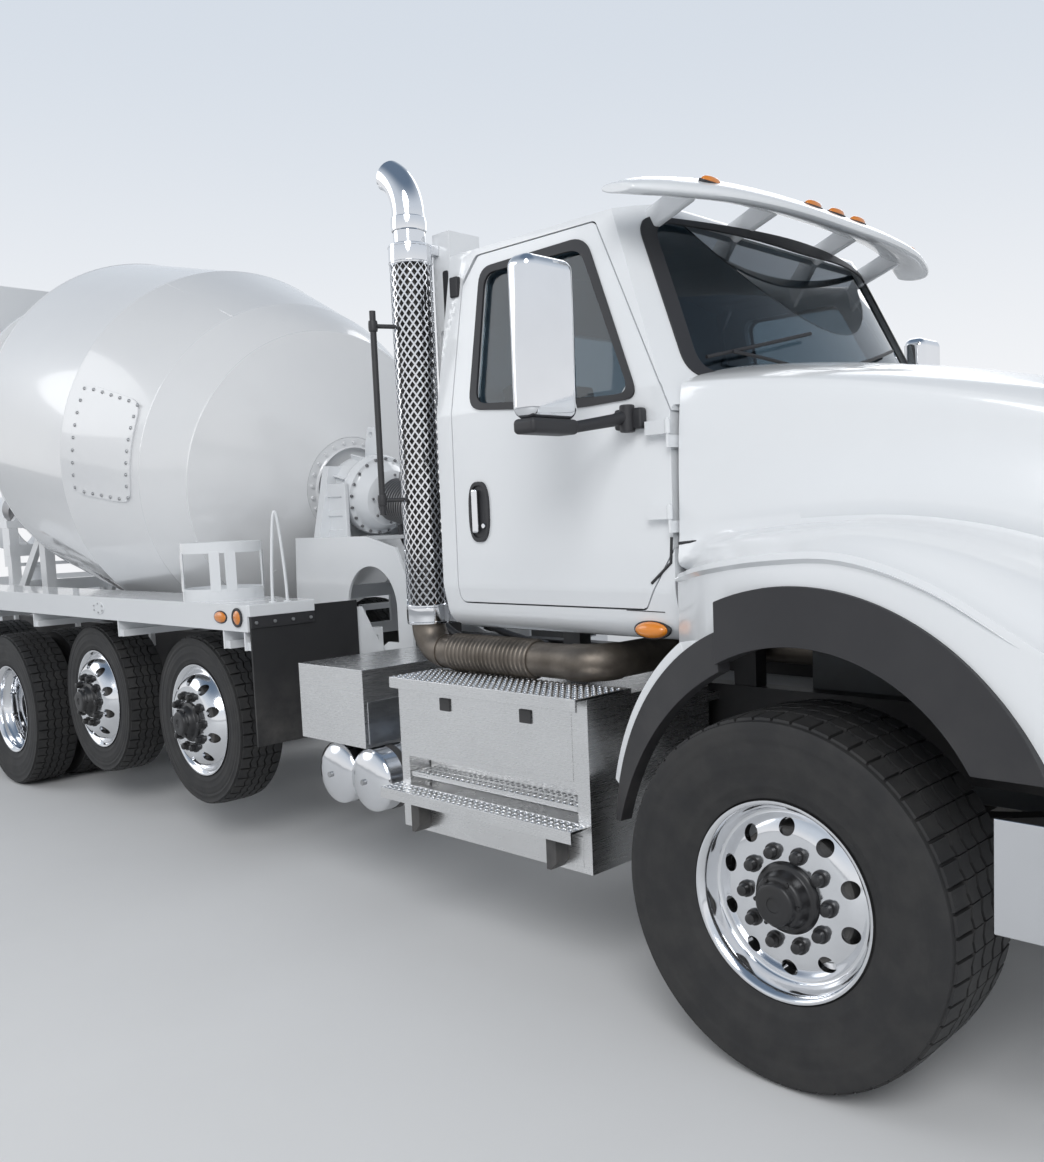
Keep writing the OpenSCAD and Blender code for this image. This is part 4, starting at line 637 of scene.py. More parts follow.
def driveBarrel(name):
    back = [(0.1100, -0.190), (0.186, -0.190), (0.204, -0.182), (0.218, -0.168), (0.262, -0.112),
            (0.2740, -0.098)]
    rim = [(0.293, -0.118), (0.3055, -0.118), (0.3055, -0.104), (0.2862, -0.1038), (0.284, -0.048),
           (0.258, -0.008), (0.258, 0.036), (0.284, 0.063), (0.2862, 0.1038)]
    body = spun(name, softened(driveOutside + back + rim), steps=96, closed=True)
    drill = roundStock("drill", 0.028, 0.4, at(0.221, 0, -twinGap), 0, 28)
    cut(body, moved(spinCopies(drill, 10), turn(18, "Z")))
    return bevelled(body, 0.002, 1, 40)


# For each axle: its wheels' place from the front axle (x, y, z), tyre radius, tyre width,
# half the rim's width
wheelPlans = {
    "front": (0.0, 1.045, 0.562, 0.562, 0.422, 0.165),
    "pusher_1": (-3.735, 0.975, 0.698, 0.465, 0.256, 0.118),
    "pusher_2": (-5.03, 0.975, 0.698, 0.465, 0.256, 0.118),
    "drive_1": (-6.27, 1.075, 0.527, 0.527, 0.279, 0.118),
    "drive_2": (-7.57, 1.075, 0.527, 0.527, 0.279, 0.118)}


def buildWheels():
    tyres, rims, hubs = {}, {}, {}
    for kind in ("front", "pusher_1", "drive_1"):
        x, y, z, radius, width, rimHalf = wheelPlans[kind]
        tyres[kind[:4]] = tyreForm("tyre", radius, width, rimHalf)
    rims["fron"] = wheelBody("rim", frontOutside, 0.165, 0.027, frontBack, 0.217)
    rims["push"] = wheelBody("rim", pusherOutside, 0.118, 0.028, pusherBack)
    rims["driv"] = driveBarrel("rim")
    hubs["fron"] = joined("hub", [hubCap(0.120, 0.198), nutRing(0.1195)])
    hubs["push"] = joined("hub", [hubCap(0.168, 0.236), nutRing(0.1675)])
    hubs["driv"] = joined("hub", [hubCap(-0.146, -0.016, 8), nutRing(-0.1675)])
    for kind, (x, y, z, radius, width, rimHalf) in wheelPlans.items():
        short = kind[:4]
        for side, word in ((-1, "right"), (1, "left")):
            body = f"wheel_{kind}_{word}"
            place = outwardFrom(axleX + x, y, z, side)
            parts = [copied(tyres[short], place)]
            metal = [copied(rims[short], place)]
            if short == "driv":
                parts.append(copied(tyres[short], place @ at(0, 0, -twinGap)))
                inner = place @ at(0, 0, -twinGap) @ Matrix.Diagonal((1, 1, -1, 1))
                metal.append(copied(rims[short], inner))
            fitted(f"tyre_{kind}_{word}_rubber", parts, body, "tyre",
                  (f"tyre_{kind}_{word}",), 28)
            fitted(f"rim_{kind}_{word}", metal, body, "wheel_alloy",
                  (f"wheel_{kind}_{word}",), 40)
            dress(copied(hubs[short], place, f"hub_{kind}_{word}"), body, "axle_black", (), 40,
                  finish="hubBlack")
            # Brake drum and hub barrel behind the disc
            face, deep = {"fron": (0.120, 0.150), "push": (0.168, 0.170), "driv": (-0.168, 0.150)}[short]
            drum = spun(f"brake_{kind}_{word}", [
                (0.090, face - 0.023), (0.205, face - 0.023), (0.212, face - 0.030),
                (0.212, face - 0.034 - deep),
                (0.198, face - 0.034 - deep), (0.198, face - 0.036), (0.090, face - 0.036)], place, 48, True)
            dress(drum, body, "axle_black", (), 40)
    for piece in (*tyres.values(), *rims.values(), *hubs.values()):
        bpy.data.objects.remove(piece)


buildWheels()
print("wheels and tyres made")

# Mixer drum
# Rows of the drum: place along its axis, radius
drumLook = {"front": (-3.780, 1.955), "slope": 12.5, "wall": 0.010, "bead": 0.0022,
            "rows": ((0.0, 0.300), (0.150, 0.640), (0.300, 0.895), (0.600, 1.030), (1.290, 1.195),
                     (2.560, 1.195), (3.400, 0.925), (4.700, 0.520)),
            "track": (3.750, 0.872), "hatch": (0.665, 1.185, -21.0, 12.0), "hatchLift": 0.006,
            "bladeDepth": 0.22, "gussets": 16, "flangeBolts": 24}


def drumPlace(s=0.0):
    x, z = drumLook["front"]
    return at(axleX + x, 0, z) @ turn(drumLook["slope"] - 90, "Y") @ at(0, 0, s)


def drumRadius(s):
    rows = drumLook["rows"]
    for (a, b), (c, d) in zip(rows, rows[1:]):
        if s <= c:
            return b + (d - b) * (s - a) / (c - a)
    return rows[-1][1]


def drumSkin():
    rows = drumLook["rows"]
    outer = [(rows[0][1], 0.0)]
    for index in range(1, len(rows)):
        (a, b), (c, d) = rows[index - 1], rows[index]
        parts = 4
        crown = 0.012 if index in (1, 2, 3) else 0.004 if index == 4 else 0.0
        for k in range(1, parts + 1):
            t = k / parts
            swell = crown * math.sin(math.pi * t)
            point = (b + (d - b) * t + swell, a + (c - a) * t)
            if k == parts and index < len(rows) - 1 and index > 1:
                e = drumLook["bead"]
                outer += [(point[0], point[1] - 0.008), (point[0] + e, point[1] - 0.004),
                          (point[0] + e, point[1] + 0.004), (point[0], point[1] + 0.008)]
            else:
                outer.append(point)
    wall = drumLook["wall"]
    inner = [(r - wall, s + (wall if s < 0.01 else 0.0)) for r, s in reversed(outer)]
    return outer + inner


def spiralBlade(start, phase, turns, end):
    points, faces = [], []
    count = 72
    for i in range(count + 1):
        t = i / count
        s = start + (end - start) * t
        a = phase + math.tau * turns * t
        r = drumRadius(s) - 0.011
        for depth in (0.0, drumLook["bladeDepth"]):
            points.append(((r - depth) * math.cos(a), (r - depth) * math.sin(a), s))
    for i in range(count):
        faces.append((2 * i, 2 * i + 1, 2 * i + 3, 2 * i + 2))
    blade = meshPiece("blade", points, faces)
    return walled(blade, 0.008)


def hatchPlate():
    s0, s1, a0, a1 = drumLook["hatch"]
    columns, rowsCount = 13, 17
    corner = 0.11
    points = []
    for i in range(rowsCount):
        v = i / (rowsCount - 1)
        for k in range(columns):
            u = k / (columns - 1)
            # Superellipse corners: the grid is pulled round at its four corners
            du, dv = 2 * u - 1, 2 * v - 1
            pull = 1 - corner * (abs(du) ** 6) * (abs(dv) ** 6)
            s = (s0 + s1) / 2 + du * pull * (s1 - s0) / 2
            a = math.radians((a0 + a1) / 2 + dv * pull * (a1 - a0) / 2 + 180)
            r = drumRadius(s) + drumLook["hatchLift"]
            points.append((r * math.sin(a), r * math.cos(a), s))
    piece = meshPiece("hatch", points, gridFaces(rowsCount, columns))
    bevelled(outwards(walled(piece, 0.012)), 0.002, 2, 50)
    bolts = []
    marks = [(u, v) for u in (-0.9, 0.9) for v in [k / 4.5 - 0.9 for k in range(9)]]
    marks += [(u, v) for v in (-0.93, 0.93) for u in (-0.6, -0.3, 0.0, 0.3, 0.6)]
    for du, dv in marks:
        s = (s0 + s1) / 2 + du * (s1 - s0) / 2
        a = (a0 + a1) / 2 + dv * (a1 - a0) / 2 + 180
        r = drumRadius(s) + drumLook["hatchLift"]
        lean = math.degrees(math.atan2(drumRadius(s + 0.01) - drumRadius(s), 0.01))
        head = spun("bolt", [(0, 0.011), (0.006, 0.010), (0.0095, 0.006), (0.011, 0), (0, 0)], steps=10)
        radial = turn(-a + 90, "Z") @ at(r + 0.005, 0, s) @ turn(90 - lean, "Y")
        bolts.append(moved(head, radial))
    return piece, joined("hatchBolts", bolts)


def buildDrum():
    shell = spun("drumShell", drumSkin(), steps=144, closed=True)
    parts = [shell]
    for s0, s1, angle in ((0.31, 0.59, 200), (0.31, 0.59, 20), (0.61, 1.28, 152), (0.61, 1.28, 332),
                          (1.30, 2.55, 186), (1.30, 2.55, 6), (2.57, 3.39, 140), (2.57, 3.39, 320),
                          (3.41, 4.64, 170), (3.41, 4.64, 350), (0.16, 0.29, 215)):
        a = math.radians(angle)
        path = [((drumRadius(s) - 0.001) * math.cos(a), (drumRadius(s) - 0.001) * math.sin(a), s)
                for s in (s0 + (s1 - s0) * k / 8 for k in range(9))]
        parts.append(bar("seam", path, 0.0045, 2))
    s, r = drumLook["track"]
    parts.append(spun("track", softened([
        (r - 0.10, s - 0.045), (r, s - 0.045), (r, s + 0.045), (r - 0.11, s + 0.045)]),
        steps=144, closed=True))
    parts.append(spun("mouthRing", softened([
        (0.512, 4.660), (0.546, 4.660), (0.546, 4.700), (0.515, 4.700)]), steps=96, closed=True))
    for k in range(drumLook["gussets"]):
        a = math.tau * k / drumLook["gussets"]
        gusset = block("gusset", (r - 0.10, -0.004, s - 0.12), (r - 0.03, 0.004, s - 0.044), 0.001)
        parts.append(moved(gusset, Matrix.Rotation(a, 4, "Z")))
    parts += [spiralBlade(2.6, phase, 1.1, 4.55) for phase in (0.4, 0.4 + math.pi)]
    # Front flange with its ring of bolts
    parts.append(spun("flange", softened([
        (0.238, -0.024), (0.238, -0.004), (0.262, 0.0), (0.300, 0.004), (0.300, 0.010), (0.0, 0.010),
        (0.0, -0.024)], closed=False), steps=72))
    bolt = roundStock("bolt", 0.011, 0.014, at(0.268, 0, -0.012), 0.002, 6)
    parts.append(spinCopies(bolt, drumLook["flangeBolts"]))
    hatch, bolts = hatchPlate()
    parts.append(hatch)
    drum = moved(joined("drumBody", parts), drumPlace())
    dress(drum, "drum", "drum_paint", ("drum",), 22)
    dress(moved(bolts, drumPlace()), "drum", "roller_steel", (), 40, finish="hatchBolt")


buildDrum()
print("drum made")

# Cab and hood trim: heights here are above the road
def pipeAlong(name, path, radii, sides=24, hollow=False):
    points, faces = [], []
    up = Vector((0, 1, 0.01))
    for i, place in enumerate(path):
        a, b = Vector(path[max(0, i - 1)]), Vector(path[min(len(path) - 1, i + 1)])
        ahead = (b - a).normalized()
        side = ahead.cross(up).normalized()
        over = side.cross(ahead)
        radius = radii[i] if isinstance(radii, (list, tuple)) else radii
        for k in range(sides):
            t = math.tau * k / sides
            points.append(tuple(Vector(place) + radius * (math.cos(t) * side + math.sin(t) * over)))
    faces = gridFaces(len(path), sides, True)
    if not hollow:
        faces += [tuple(range(sides)), tuple(reversed(range(len(points) - sides, len(points))))]
    return outwards(meshPiece(name, points, faces))


def arcPoints(cx, cy, radius, a0, a1, count):
    return [(cx + radius * math.cos(math.radians(a0 + (a1 - a0) * i / count)),
             cy + radius * math.sin(math.radians(a0 + (a1 - a0) * i / count))) for i in range(count + 1)]


# An outline given in X and Z, pushed along Y from y0 to y1
def sidePlate(name, outline, y0, y1, bevel=0.0, segments=2):
    piece = plate(name, [(axleX + x, z) for x, z in outline], y1 - y0, turn(90, "X"), bevel, segments)
    return moved(piece, at(0, y1, 0))


# Rows of the hood: x, z of the crown, then y and z of the shoulder, the side, the joint with
# the fender, the crown of the fender and its edge
hoodLook = {"rows": (
    (-0.482, 2.205, 0.985, 2.092, 1.004, 1.872, 1.014, 1.560, 1.022, 1.500, 1.030, 1.440),
    (-0.250, 2.185, 0.965, 2.080, 0.978, 1.866, 1.000, 1.580, 1.090, 1.568, 1.190, 1.480),
    (0.000, 2.150, 0.930, 2.055, 0.935, 1.858, 0.965, 1.600, 1.120, 1.596, 1.250, 1.510),
    (0.250, 2.105, 0.880, 2.015, 0.882, 1.842, 0.915, 1.600, 1.120, 1.600, 1.256, 1.512),
    (0.500, 2.045, 0.822, 1.962, 0.826, 1.812, 0.870, 1.560, 1.110, 1.548, 1.256, 1.440),
    (0.750, 1.970, 0.755, 1.895, 0.765, 1.762, 0.830, 1.480, 1.080, 1.440, 1.240, 1.300),
    (0.900, 1.915, 0.705, 1.845, 0.722, 1.720, 0.790, 1.420, 1.010, 1.350, 1.170, 1.200),
    (1.000, 1.865, 0.650, 1.800, 0.680, 1.680, 0.740, 1.380, 0.930, 1.290, 1.060, 1.140)),
    "foot": 0.945, "panel": 0.022, "arch": (0.100, 0.703, 0.747), "split": -0.170,
    "tail": (0.092, 0.548, 0.8103),
    "grille": (0.50, 1.00, 1.76), "lamp": (0.700, 0.985, 1.08, 1.29), "screenLean": 27.6,
    "screenFoot": (-0.300, 2.090), "screenRadius": 2.512}


def hoodSection(v):
    half = [(0, v[1]), (v[2] * 0.35, v[1] - (v[1] - v[3]) * 0.08), (v[2] * 0.62, v[1] - (v[1] - v[3]) * 0.28),
            (v[2] * 0.85, v[3] + 0.040), (v[2] - 0.035, v[3] + 0.008), (v[2], v[3] - 0.030), (v[4], v[5]),
            (v[6] - 0.004, v[7] + (v[5] - v[7]) * 0.35), (v[6], v[7] + 0.020), (v[8], v[9]),
            (v[10] - 0.050, v[11] + 0.034), (v[10] - 0.012, v[11] + 0.010), (v[10], v[11] - 0.02),
            (v[10], hoodLook["foot"])]
    return [(-y, z) for y, z in reversed(half[1:])] + half


def archTool(side):
    ax, az, ar = hoodLook["arch"]
    tx, tz, tr = hoodLook["tail"]
    split = hoodLook["split"]
    tailTop = math.degrees(math.acos((split - tx) / tr))
    frontTop = math.degrees(math.acos((split - ax) / ar))
    outline = [(-1.2, 0.0), (-1.2, 0.963)]
    outline += [p for p in arcPoints(tx, tz, tr, 180, tailTop, 60) if p[1] > 0.963 and p[0] < split]
    outline += [(split, tz + tr * math.sin(math.radians(tailTop)))]
    outline += arcPoints(ax, az, ar, frontTop, 0, 60) + [(ax + ar, 0.0)]
    y0, y1 = sorted((side * 0.6, side * 1.4))
    return moved(sidePlate("archTool", outline, y0, y1), at(0, 0, lift))


def buildHood():
    rows = throughPoints([[v[0]] + [c for point in hoodSection(v) for c in point]
                          for v in hoodLook["rows"]], 5)
    points, columns = [], 0
    for row in rows:
        section = throughPoints([row[1 + 2 * k:3 + 2 * k] for k in range((len(row) - 1) // 2)], 3)
        columns = len(section)
        points += [(axleX + row[0], y, z + lift) for y, z in section]
    skin = meshPiece("hoodSkin", points, gridFaces(len(rows), columns))
    outwards(skin)
    walled(skin, hoodLook["panel"], -1)
    nose = [(y, z) for y, z in throughPoints(hoodSection(hoodLook["rows"][-1]), 3)]
    front = plate("hoodNose", nose, 0.030, facingForward, 0.008, 3)
    moved(front, at(axleX + 0.972, 0, lift))
    hw, g0, g1 = hoodLook["grille"]
    opening = [(-hw + 0.01, g0), (-hw + 0.06, g1 - 0.03), (-hw + 0.11, g1), (hw - 0.11, g1),
               (hw - 0.06, g1 - 0.03), (hw - 0.01, g0)]
    cut(front, moved(plate("tool", opening, 0.2, facingForward, 0), at(axleX + 0.9, 0, lift)))
    y0, y1, z0, z1 = hoodLook["lamp"]
    for side in (-1, 1):
        lamp = [(side * y, z) for y, z in ((y0, z0), (y0, z1), (y1 - 0.06, z1), (y1, z0))]
        cut(front, moved(plate("tool", lamp, 0.2, facingForward, 0.03, 3), at(axleX + 0.9, 0, lift)))
        cut(skin, archTool(side))
        cut(front, archTool(side))
    # The bay behind the foot of the windscreen
    lean = hoodLook["screenLean"]
    x, z = hoodLook["screenFoot"]
    bay = roundStock("bay", hoodLook["screenRadius"], 0.9, at(0, 0, -0.10), 0, 128)
    back = hoodLook["screenRadius"] / math.cos(math.radians(lean))
    moved(bay, at(axleX + x - back, 0, z + lift) @ turn(-lean, "Y"))
    cut(skin, bay)
    return skin, front


def fenderTail(side):
    tx, tz, tr = hoodLook["tail"]
    outer = arcPoints(tx - 0.008, tz + 0.014, tr + 0.018, 166, 122, 24)
    inner = arcPoints(tx, tz, tr, 122, 166, 24)
    outline = [(x, z + lift) for x, z in outer + inner]
    piece = sidePlate("tail", outline, 1.138, 1.242, 0.004)
    moved(piece, at(axleX - 0.17, 1.268, 0) @ turn(12, "Z") @ at(-axleX + 0.17, -1.268, 0))
    return piece if side > 0 else moved(piece, mirrorY)


def dressHood():
    skin, front = buildHood()
    tails = [fenderTail(1), fenderTail(-1)]
    arms = [block("arm", (axleX + 0.95, s * 0.315 - 0.015, 0.955),
                  (axleX + 1.045, s * 0.315 + 0.015, 1.035), 0.008)
            for s in (-1, 1)]
    bevelled(skin, 0.0035, 2, 45)
    hood = joined("hoodShell", [skin, front, *tails, *arms])
    dress(hood, "hood", "white_paint", ("hood",), 38)
    # Joint between the hood side and the fender
    # Drawn as black lines: painted shade in the groove where the hood side meets the fender
    lines = []
    for side in (-1, 1):
        path = throughPoints([(axleX + v[0], side * (v[6] + 0.0015), v[7] + 0.004 + lift)
                              for v in hoodLook["rows"]], 5)
        lines.append(bar("joint", [p for p in path if p[0] < axleX - 0.13], 0.0055, 2))
    fitted("hoodJointShade", lines, "hood", "black_plastic")


dressHood()
print("hood made")

# Rows of the visor: y, x of the front, x of the back, z, thickness, rise
visorLook = {"rows": ((0.0, -0.388, -0.635, 2.788, 0.072, 0.100),
                      (0.350, -0.393, -0.640, 2.786, 0.072, 0.098),
                      (0.650, -0.425, -0.660, 2.777, 0.070, 0.090),
                      (0.880, -0.490, -0.695, 2.760, 0.064, 0.070),
                      (1.000, -0.545, -0.720, 2.746, 0.054, 0.045),
                      (1.065, -0.595, -0.730, 2.737, 0.034, 0.020)),
             "struts": ((0.300, -0.520), (0.760, -0.560)), "sides": 32}


def buildVisor():
    rows = [[-v[0], *v[1:]] for v in reversed(visorLook["rows"][1:])] + [list(v) for v in visorLook["rows"]]
    rows = throughPoints(rows, 5)
    n = visorLook["sides"]
    points = []
    for y, front, back, z, thick, rise in rows:
        for k in range(n):
            a = math.tau * k / n
            c, s = math.cos(a), math.sin(a)
            points.append((axleX + (front + back) / 2 + (front - back) / 2 * c, y,
                           lift + z - rise / 2 * c + thick / 2 * math.copysign(abs(s) ** 0.85, s)))
    faces = gridFaces(len(rows), n, True) + [tuple(range(n)), tuple(range(len(points) - n, len(points)))]
    wing = outwards(meshPiece("visorWing", points, faces))
    bevelled(wing, 0.010, 3, 50)
    struts = []
    for y, x in visorLook["struts"]:
        for side in (-1, 1):
            drop = y * y / 20.0
            strut = sidePlate("strut", [(x + u, w - drop + lift) for u, w in (
                (0, 2.785), (-0.02, 2.762), (-0.235, 2.686), (-0.315, 2.736), (-0.1, 2.820))],
                side * y - 0.015, side * y + 0.015, 0.008, 3)
            struts.append(strut)
    visor = joined("visorWing", [wing] + struts)
    dress(visor, "chassis", "white_paint", ("sun_visor",), 40)


buildVisor()
print("visor made")

stackLook = {"place": (-1.835, -1.0), "pipe": 0.0655, "guard": 0.086, "from": 1.345, "to": 2.795,
             "top": 2.965, "bend": 0.200, "holesRound": 18, "holesUp": 34, "rod": (1.755, 2.575),
             "rodArms": (1.815, 2.515), "rodRadius": 0.0128}


def diamondGuard():
    n, m = stackLook["holesRound"] * 2, stackLook["holesUp"] * 2
    z0, z1 = stackLook["from"] + 0.03, stackLook["to"] - 0.03
    points = []
    for j in range(m + 1):
        for i in range(n):
            a = math.tau * i / n
            points.append((stackLook["guard"] * math.cos(a), stackLook["guard"] * math.sin(a),
                           z0 + (z1 - z0) * j / m))
    faces = []
    for j in range(1, m):
        for i in range(n):
            if (i + j) % 2:
                faces.append(((j - 1) * n + i, j * n + (i + 1) % n, (j + 1) * n + i, j * n + (i - 1) % n))
    sheet = edited(meshPiece("guardSheet", points, faces),
                   (bpy.ops.mesh.inset, {"thickness": 0.0032, "use_individual": True,
                                         "use_even_offset": True}),
                   (bpy.ops.mesh.delete, {"type": "FACE"}), (bpy.ops.mesh.select_mode, {"type": "VERT"}),
                   (bpy.ops.mesh.select_all, {"action": "SELECT"}), (bpy.ops.mesh.delete_loose, {}))
    return walled(sheet, 0.003, -1)


def buildStack():
    x, y = stackLook["place"]
    x += axleX
    r, g = stackLook["pipe"], stackLook["guard"]
    place = at(x, y, 0)
    parts = [moved(diamondGuard(), place)]
    for low, high in ((stackLook["from"] - 0.05, stackLook["from"] + 0.035),
                      (stackLook["to"] - 0.035, stackLook["to"] + 0.05)):
        parts.append(spun("band", softened([(r + 0.001, low), (g - 0.004, low), (g + 0.003, low + 0.006),
                     (g + 0.003, high - 0.006), (g - 0.004, high), (r + 0.001, high)]), place, 64, True))
        for z in (low + 0.012, high - 0.012):
            parts.append(spun("bead", softened([(g, z - 0.003), (g + 0.0055, z), (g, z + 0.003)]),
                              place, 64, True))
    path = [(x, y, 1.295), (x, y, 2.0), (x, y, stackLook["top"] - 0.08), (x, y, stackLook["top"])]
    b = stackLook["bend"]
    path += [(x - b + b * math.cos(math.radians(a)), y, stackLook["top"] + b * math.sin(math.radians(a)))
             for a in range(6, 64, 7)]
    tube = pipeAlong("stackTube", path, r, 48, True)
    parts.append(walled(tube, 0.004, -1))
    top = stackLook["top"]
    parts.append(spun("collar", softened([
        (r, top - 0.07), (r + 0.007, top - 0.064), (r + 0.007, top - 0.016), (r, top - 0.010)]),
        place, 64, True))
    for z in (stackLook["from"] - 0.05, stackLook["to"] + 0.01):
        parts.append(block("bracket", (x + 0.03, y + 0.055, z), (x + 0.07, y + 0.0947, z + 0.04), 0.004))
    # Grab rod on its two brackets
    gx, gy = x - 0.06, y - 0.16
    thin = stackLook["rodRadius"]
    rods = [bar("grabRod", [(gx, gy, z) for z in stackLook["rod"]], thin, 6)]
    for z in stackLook["rodArms"]:
        rods.append(bar("rodArm", [(gx, gy, z), (x - 0.02, y - g + 0.004, z)], 0.009, 4))
        rods.append(spun("rodClamp", softened([
            (thin, z - 0.022), (0.019, z - 0.020), (0.019, z + 0.020), (thin, z + 0.022)]), at(gx, gy, 0), 24,
                    True))
    fitted("grabRod", rods, "chassis", "frame_black")
    # A darker steel sleeve on the pipe under the guard: painted shade inside the perforated guard
    sleeve = spun("stackSleeve", [(r + 0.0008, stackLook["from"]), (r + 0.003, stackLook["from"] + 0.004),
                                  (r + 0.003, stackLook["to"] - 0.004),
                                  (r + 0.0008, stackLook["to"])], place, 48,
                                          True)
    dress(sleeve, "chassis", "exhaust_steel", (), 40, finish="guardShadeSteel")
    fitted("exhaustStack", parts, "chassis", "chrome", ("exhaust_stack",), 40)


buildStack()
print("exhaust stack made")

mirrorLook = {"place": (-0.742, 1.355), "low": 2.030, "high": 2.540, "deep": 0.110, "wide": 0.225}


def buildMirror(side, word):
    x, y = mirrorLook["place"]
    x += axleX
    d, w = mirrorLook["deep"] / 2, mirrorLook["wide"] / 2
    shell = block("shell", (x - d, side * y - w, mirrorLook["low"]),
                  (x + d, side * y + w, mirrorLook["high"]), 0)
    takeUp(shell)
    soft = shell.modifiers.new("soft", "BEVEL")
    soft.width = 0.040
    soft.segments = 6
    soft.limit_method = "NONE"
    applyModifiers(shell)
    cut(shell, block("tool", (x - d - 0.01, side * y - w + 0.016, mirrorLook["low"] + 0.03),
                     (x - d + 0.015, side * y + w - 0.016, mirrorLook["high"] - 0.03), 0.004))
    dress(shell, f"door_{word}", "chrome", (f"mirror_{word}",), 30)
    glass = block("glass", (x - d + 0.004, side * y - w + 0.018, mirrorLook["low"] + 0.032),
                  (x - d + 0.0152, side * y + w - 0.018, mirrorLook["high"] - 0.032), 0.003)
    split = mirrorLook["low"] + 0.16
    cut(glass, block("tool", (x - d - 0.01, side * y - w, split - 0.003),
                     (x - d + 0.02, side * y + w, split + 0.003), 0))
    dress(glass, f"door_{word}", "chrome", finish="mirrorGlass")
    foot = block("foot", (x - d + 0.006, side * y - w + 0.006, mirrorLook["low"] - 0.045),
                 (x + d - 0.006, side * y + w - 0.006, mirrorLook["low"] + 0.004), 0.016, 4)
    arm = pipeAlong("arm", [(x, side * (y - 0.03), mirrorLook["low"] - 0.022),
                            (x + 0.03, side * (y - 0.10), 2.010),
                            (axleX - 0.68, side * 1.10, 2.035), (axleX - 0.662, side * 1.045, 2.050)],
                    (0.020, 0.019, 0.021, 0.024), 20)
    post = roundStock("post", 0.026, 0.092, at(axleX - 0.660, side * 1.050, 1.995), 0.006, 28)
    base = sideBlock("base", side, (axleX - 0.72, 1.016, 2.005), (axleX - 0.60, 1.052, 2.075), 0.010, 3)
    fitted(f"mirrorArm_{word}", [foot, arm, post, base], f"door_{word}", "black_plastic")


buildMirror(-1, "right")
buildMirror(1, "left")
print("mirrors made")

# How far the cab's side stands out at a height over the road
cabSide = ((1.280, 0.980), (1.460, 1.020), (2.145, 1.014), (2.775, 0.905))


def sideAt(z):
    for (a, b), (c, d) in zip(cabSide, cabSide[1:]):
        if z <= c:
            return b + (d - b) * (z - a) / (c - a)
    return cabSide[-1][1]


def inset(outline, amount):
    cx = sum(x for x, z in outline) / len(outline)
    cz = sum(z for x, z in outline) / len(outline)
    made = []
    for x, z in outline:
        dx, dz = x - cx, z - cz
        size = math.hypot(dx, dz)
        made.append((x - dx / size * amount, z - dz / size * amount))
    return made


def rounded(outline, radius, steps=6):
    made = []
    count = len(outline)
    for i in range(count):
        before, corner, after = (Vector(outline[(i + k) % count]) for k in (-1, 0, 1))
        a = corner + (before - corner).normalized() * radius
        b = corner + (after - corner).normalized() * radius
        for k in range(steps + 1):
            t = k / steps
            made.append(tuple((1 - t) ** 2 * a + 2 * t * (1 - t) * corner + t ** 2 * b))
    return made


def ringFaces(count):
    return [(i, (i + 1) % count, count + (i + 1) % count, count + i) for i in range(count)]


def sheetPiece(name, points, faces, thick):
    sheet = walled(outwards(meshPiece(name, points, faces)), thick)
    return bevelled(outwards(sheet), 0.0015, 2, 40)


# A flat ring that lies on the cab's side between two outlines in X and Z
def sideRing(name, outer, inner, side, stand, thick):
    points = [(axleX + x, side * (sideAt(z) + stand), z) for x, z in outer + inner]
    return sheetPiece(name, points, ringFaces(len(outer)), thick)


def sideSheet(name, outline, side, stand, thick):
    points = [(axleX + x, side * (sideAt(z) + stand), z) for x, z in outline]
    return sheetPiece(name, points, [tuple(range(len(points)))], thick)


doorLook = {"window": ((-1.470, 2.165), (-1.480, 2.687), (-0.955, 2.687), (-0.660, 2.125), (-0.900, 2.125)),
            "band": 0.030, "handle": (-1.460, 1.752), "recess": (0.058, 0.118)}


def squared(value):
    return math.copysign(abs(value) ** 0.7, value)


def buildDoorTrim(side, word):
    body = f"door_{word}"
    window = rounded(doorLook["window"], 0.06)
    ring = sideRing("windowFrame", inset(window, -doorLook["band"]), inset(window, 0.012), side, 0.003, 0.010)
    x, z = doorLook["handle"]
    rx, rz = doorLook["recess"]
    oval = [(x + rx * squared(math.cos(t)), z + rz * squared(math.sin(t)))
            for t in (math.tau * k / 36 for k in range(36))]
    recess = sideRing("recess", oval, inset(oval, 0.016), side, 0.004, 0.010)
    pit = sideSheet("pit", inset(oval, 0.014), side, 0.0008, 0.002)
    fitted(f"doorTrim_{word}", [ring, recess, pit], body, "black_plastic")
    y = side * (sideAt(z) + 0.013)
    grip = block("grip", (axleX + x - 0.030, y - 0.008, z - 0.082),
                 (axleX + x + 0.002, y + 0.008, z + 0.088), 0.007,
            3)
    lock = spun("lock", [(0, 0.010), (0.009, 0.010), (0.011, 0.007), (0.011, 0.0), (0, 0.0)],
                outwardFrom(axleX + x + 0.028, sideAt(z) + 0.003, z - 0.055, side), 24)
    fitted(f"doorHandle_{word}", [grip, lock], body, "chrome")
    # Grooves pressed into the door skin, drawn as black lines that paint the shade inside them, and the seal
    # round it
    lines = []
    for path in (((-0.510, 1.640), (-0.515, 1.555), (-0.600, 1.485)), ((-0.730, 1.388), (-0.560, 1.386))):
        radius = 0.0055 if len(path) > 2 else 0.0016
        lines.append(bar("groove", [(axleX + u, side * (sideAt(w) + 0.0005), w) for u, w in path], radius, 2))
    fitted(f"doorGrooveShadeAndSeal_{word}", lines, body, "black_plastic")


buildDoorTrim(-1, "right")
buildDoorTrim(1, "left")

screenLook = {"corner": ((-0.900, 2.173), (-0.815, 2.770), (0.815, 2.770), (0.900, 2.173)), "radius": 2.500,
              "lean": 27.6, "foot": (-0.300, 2.145), "band": 0.045}


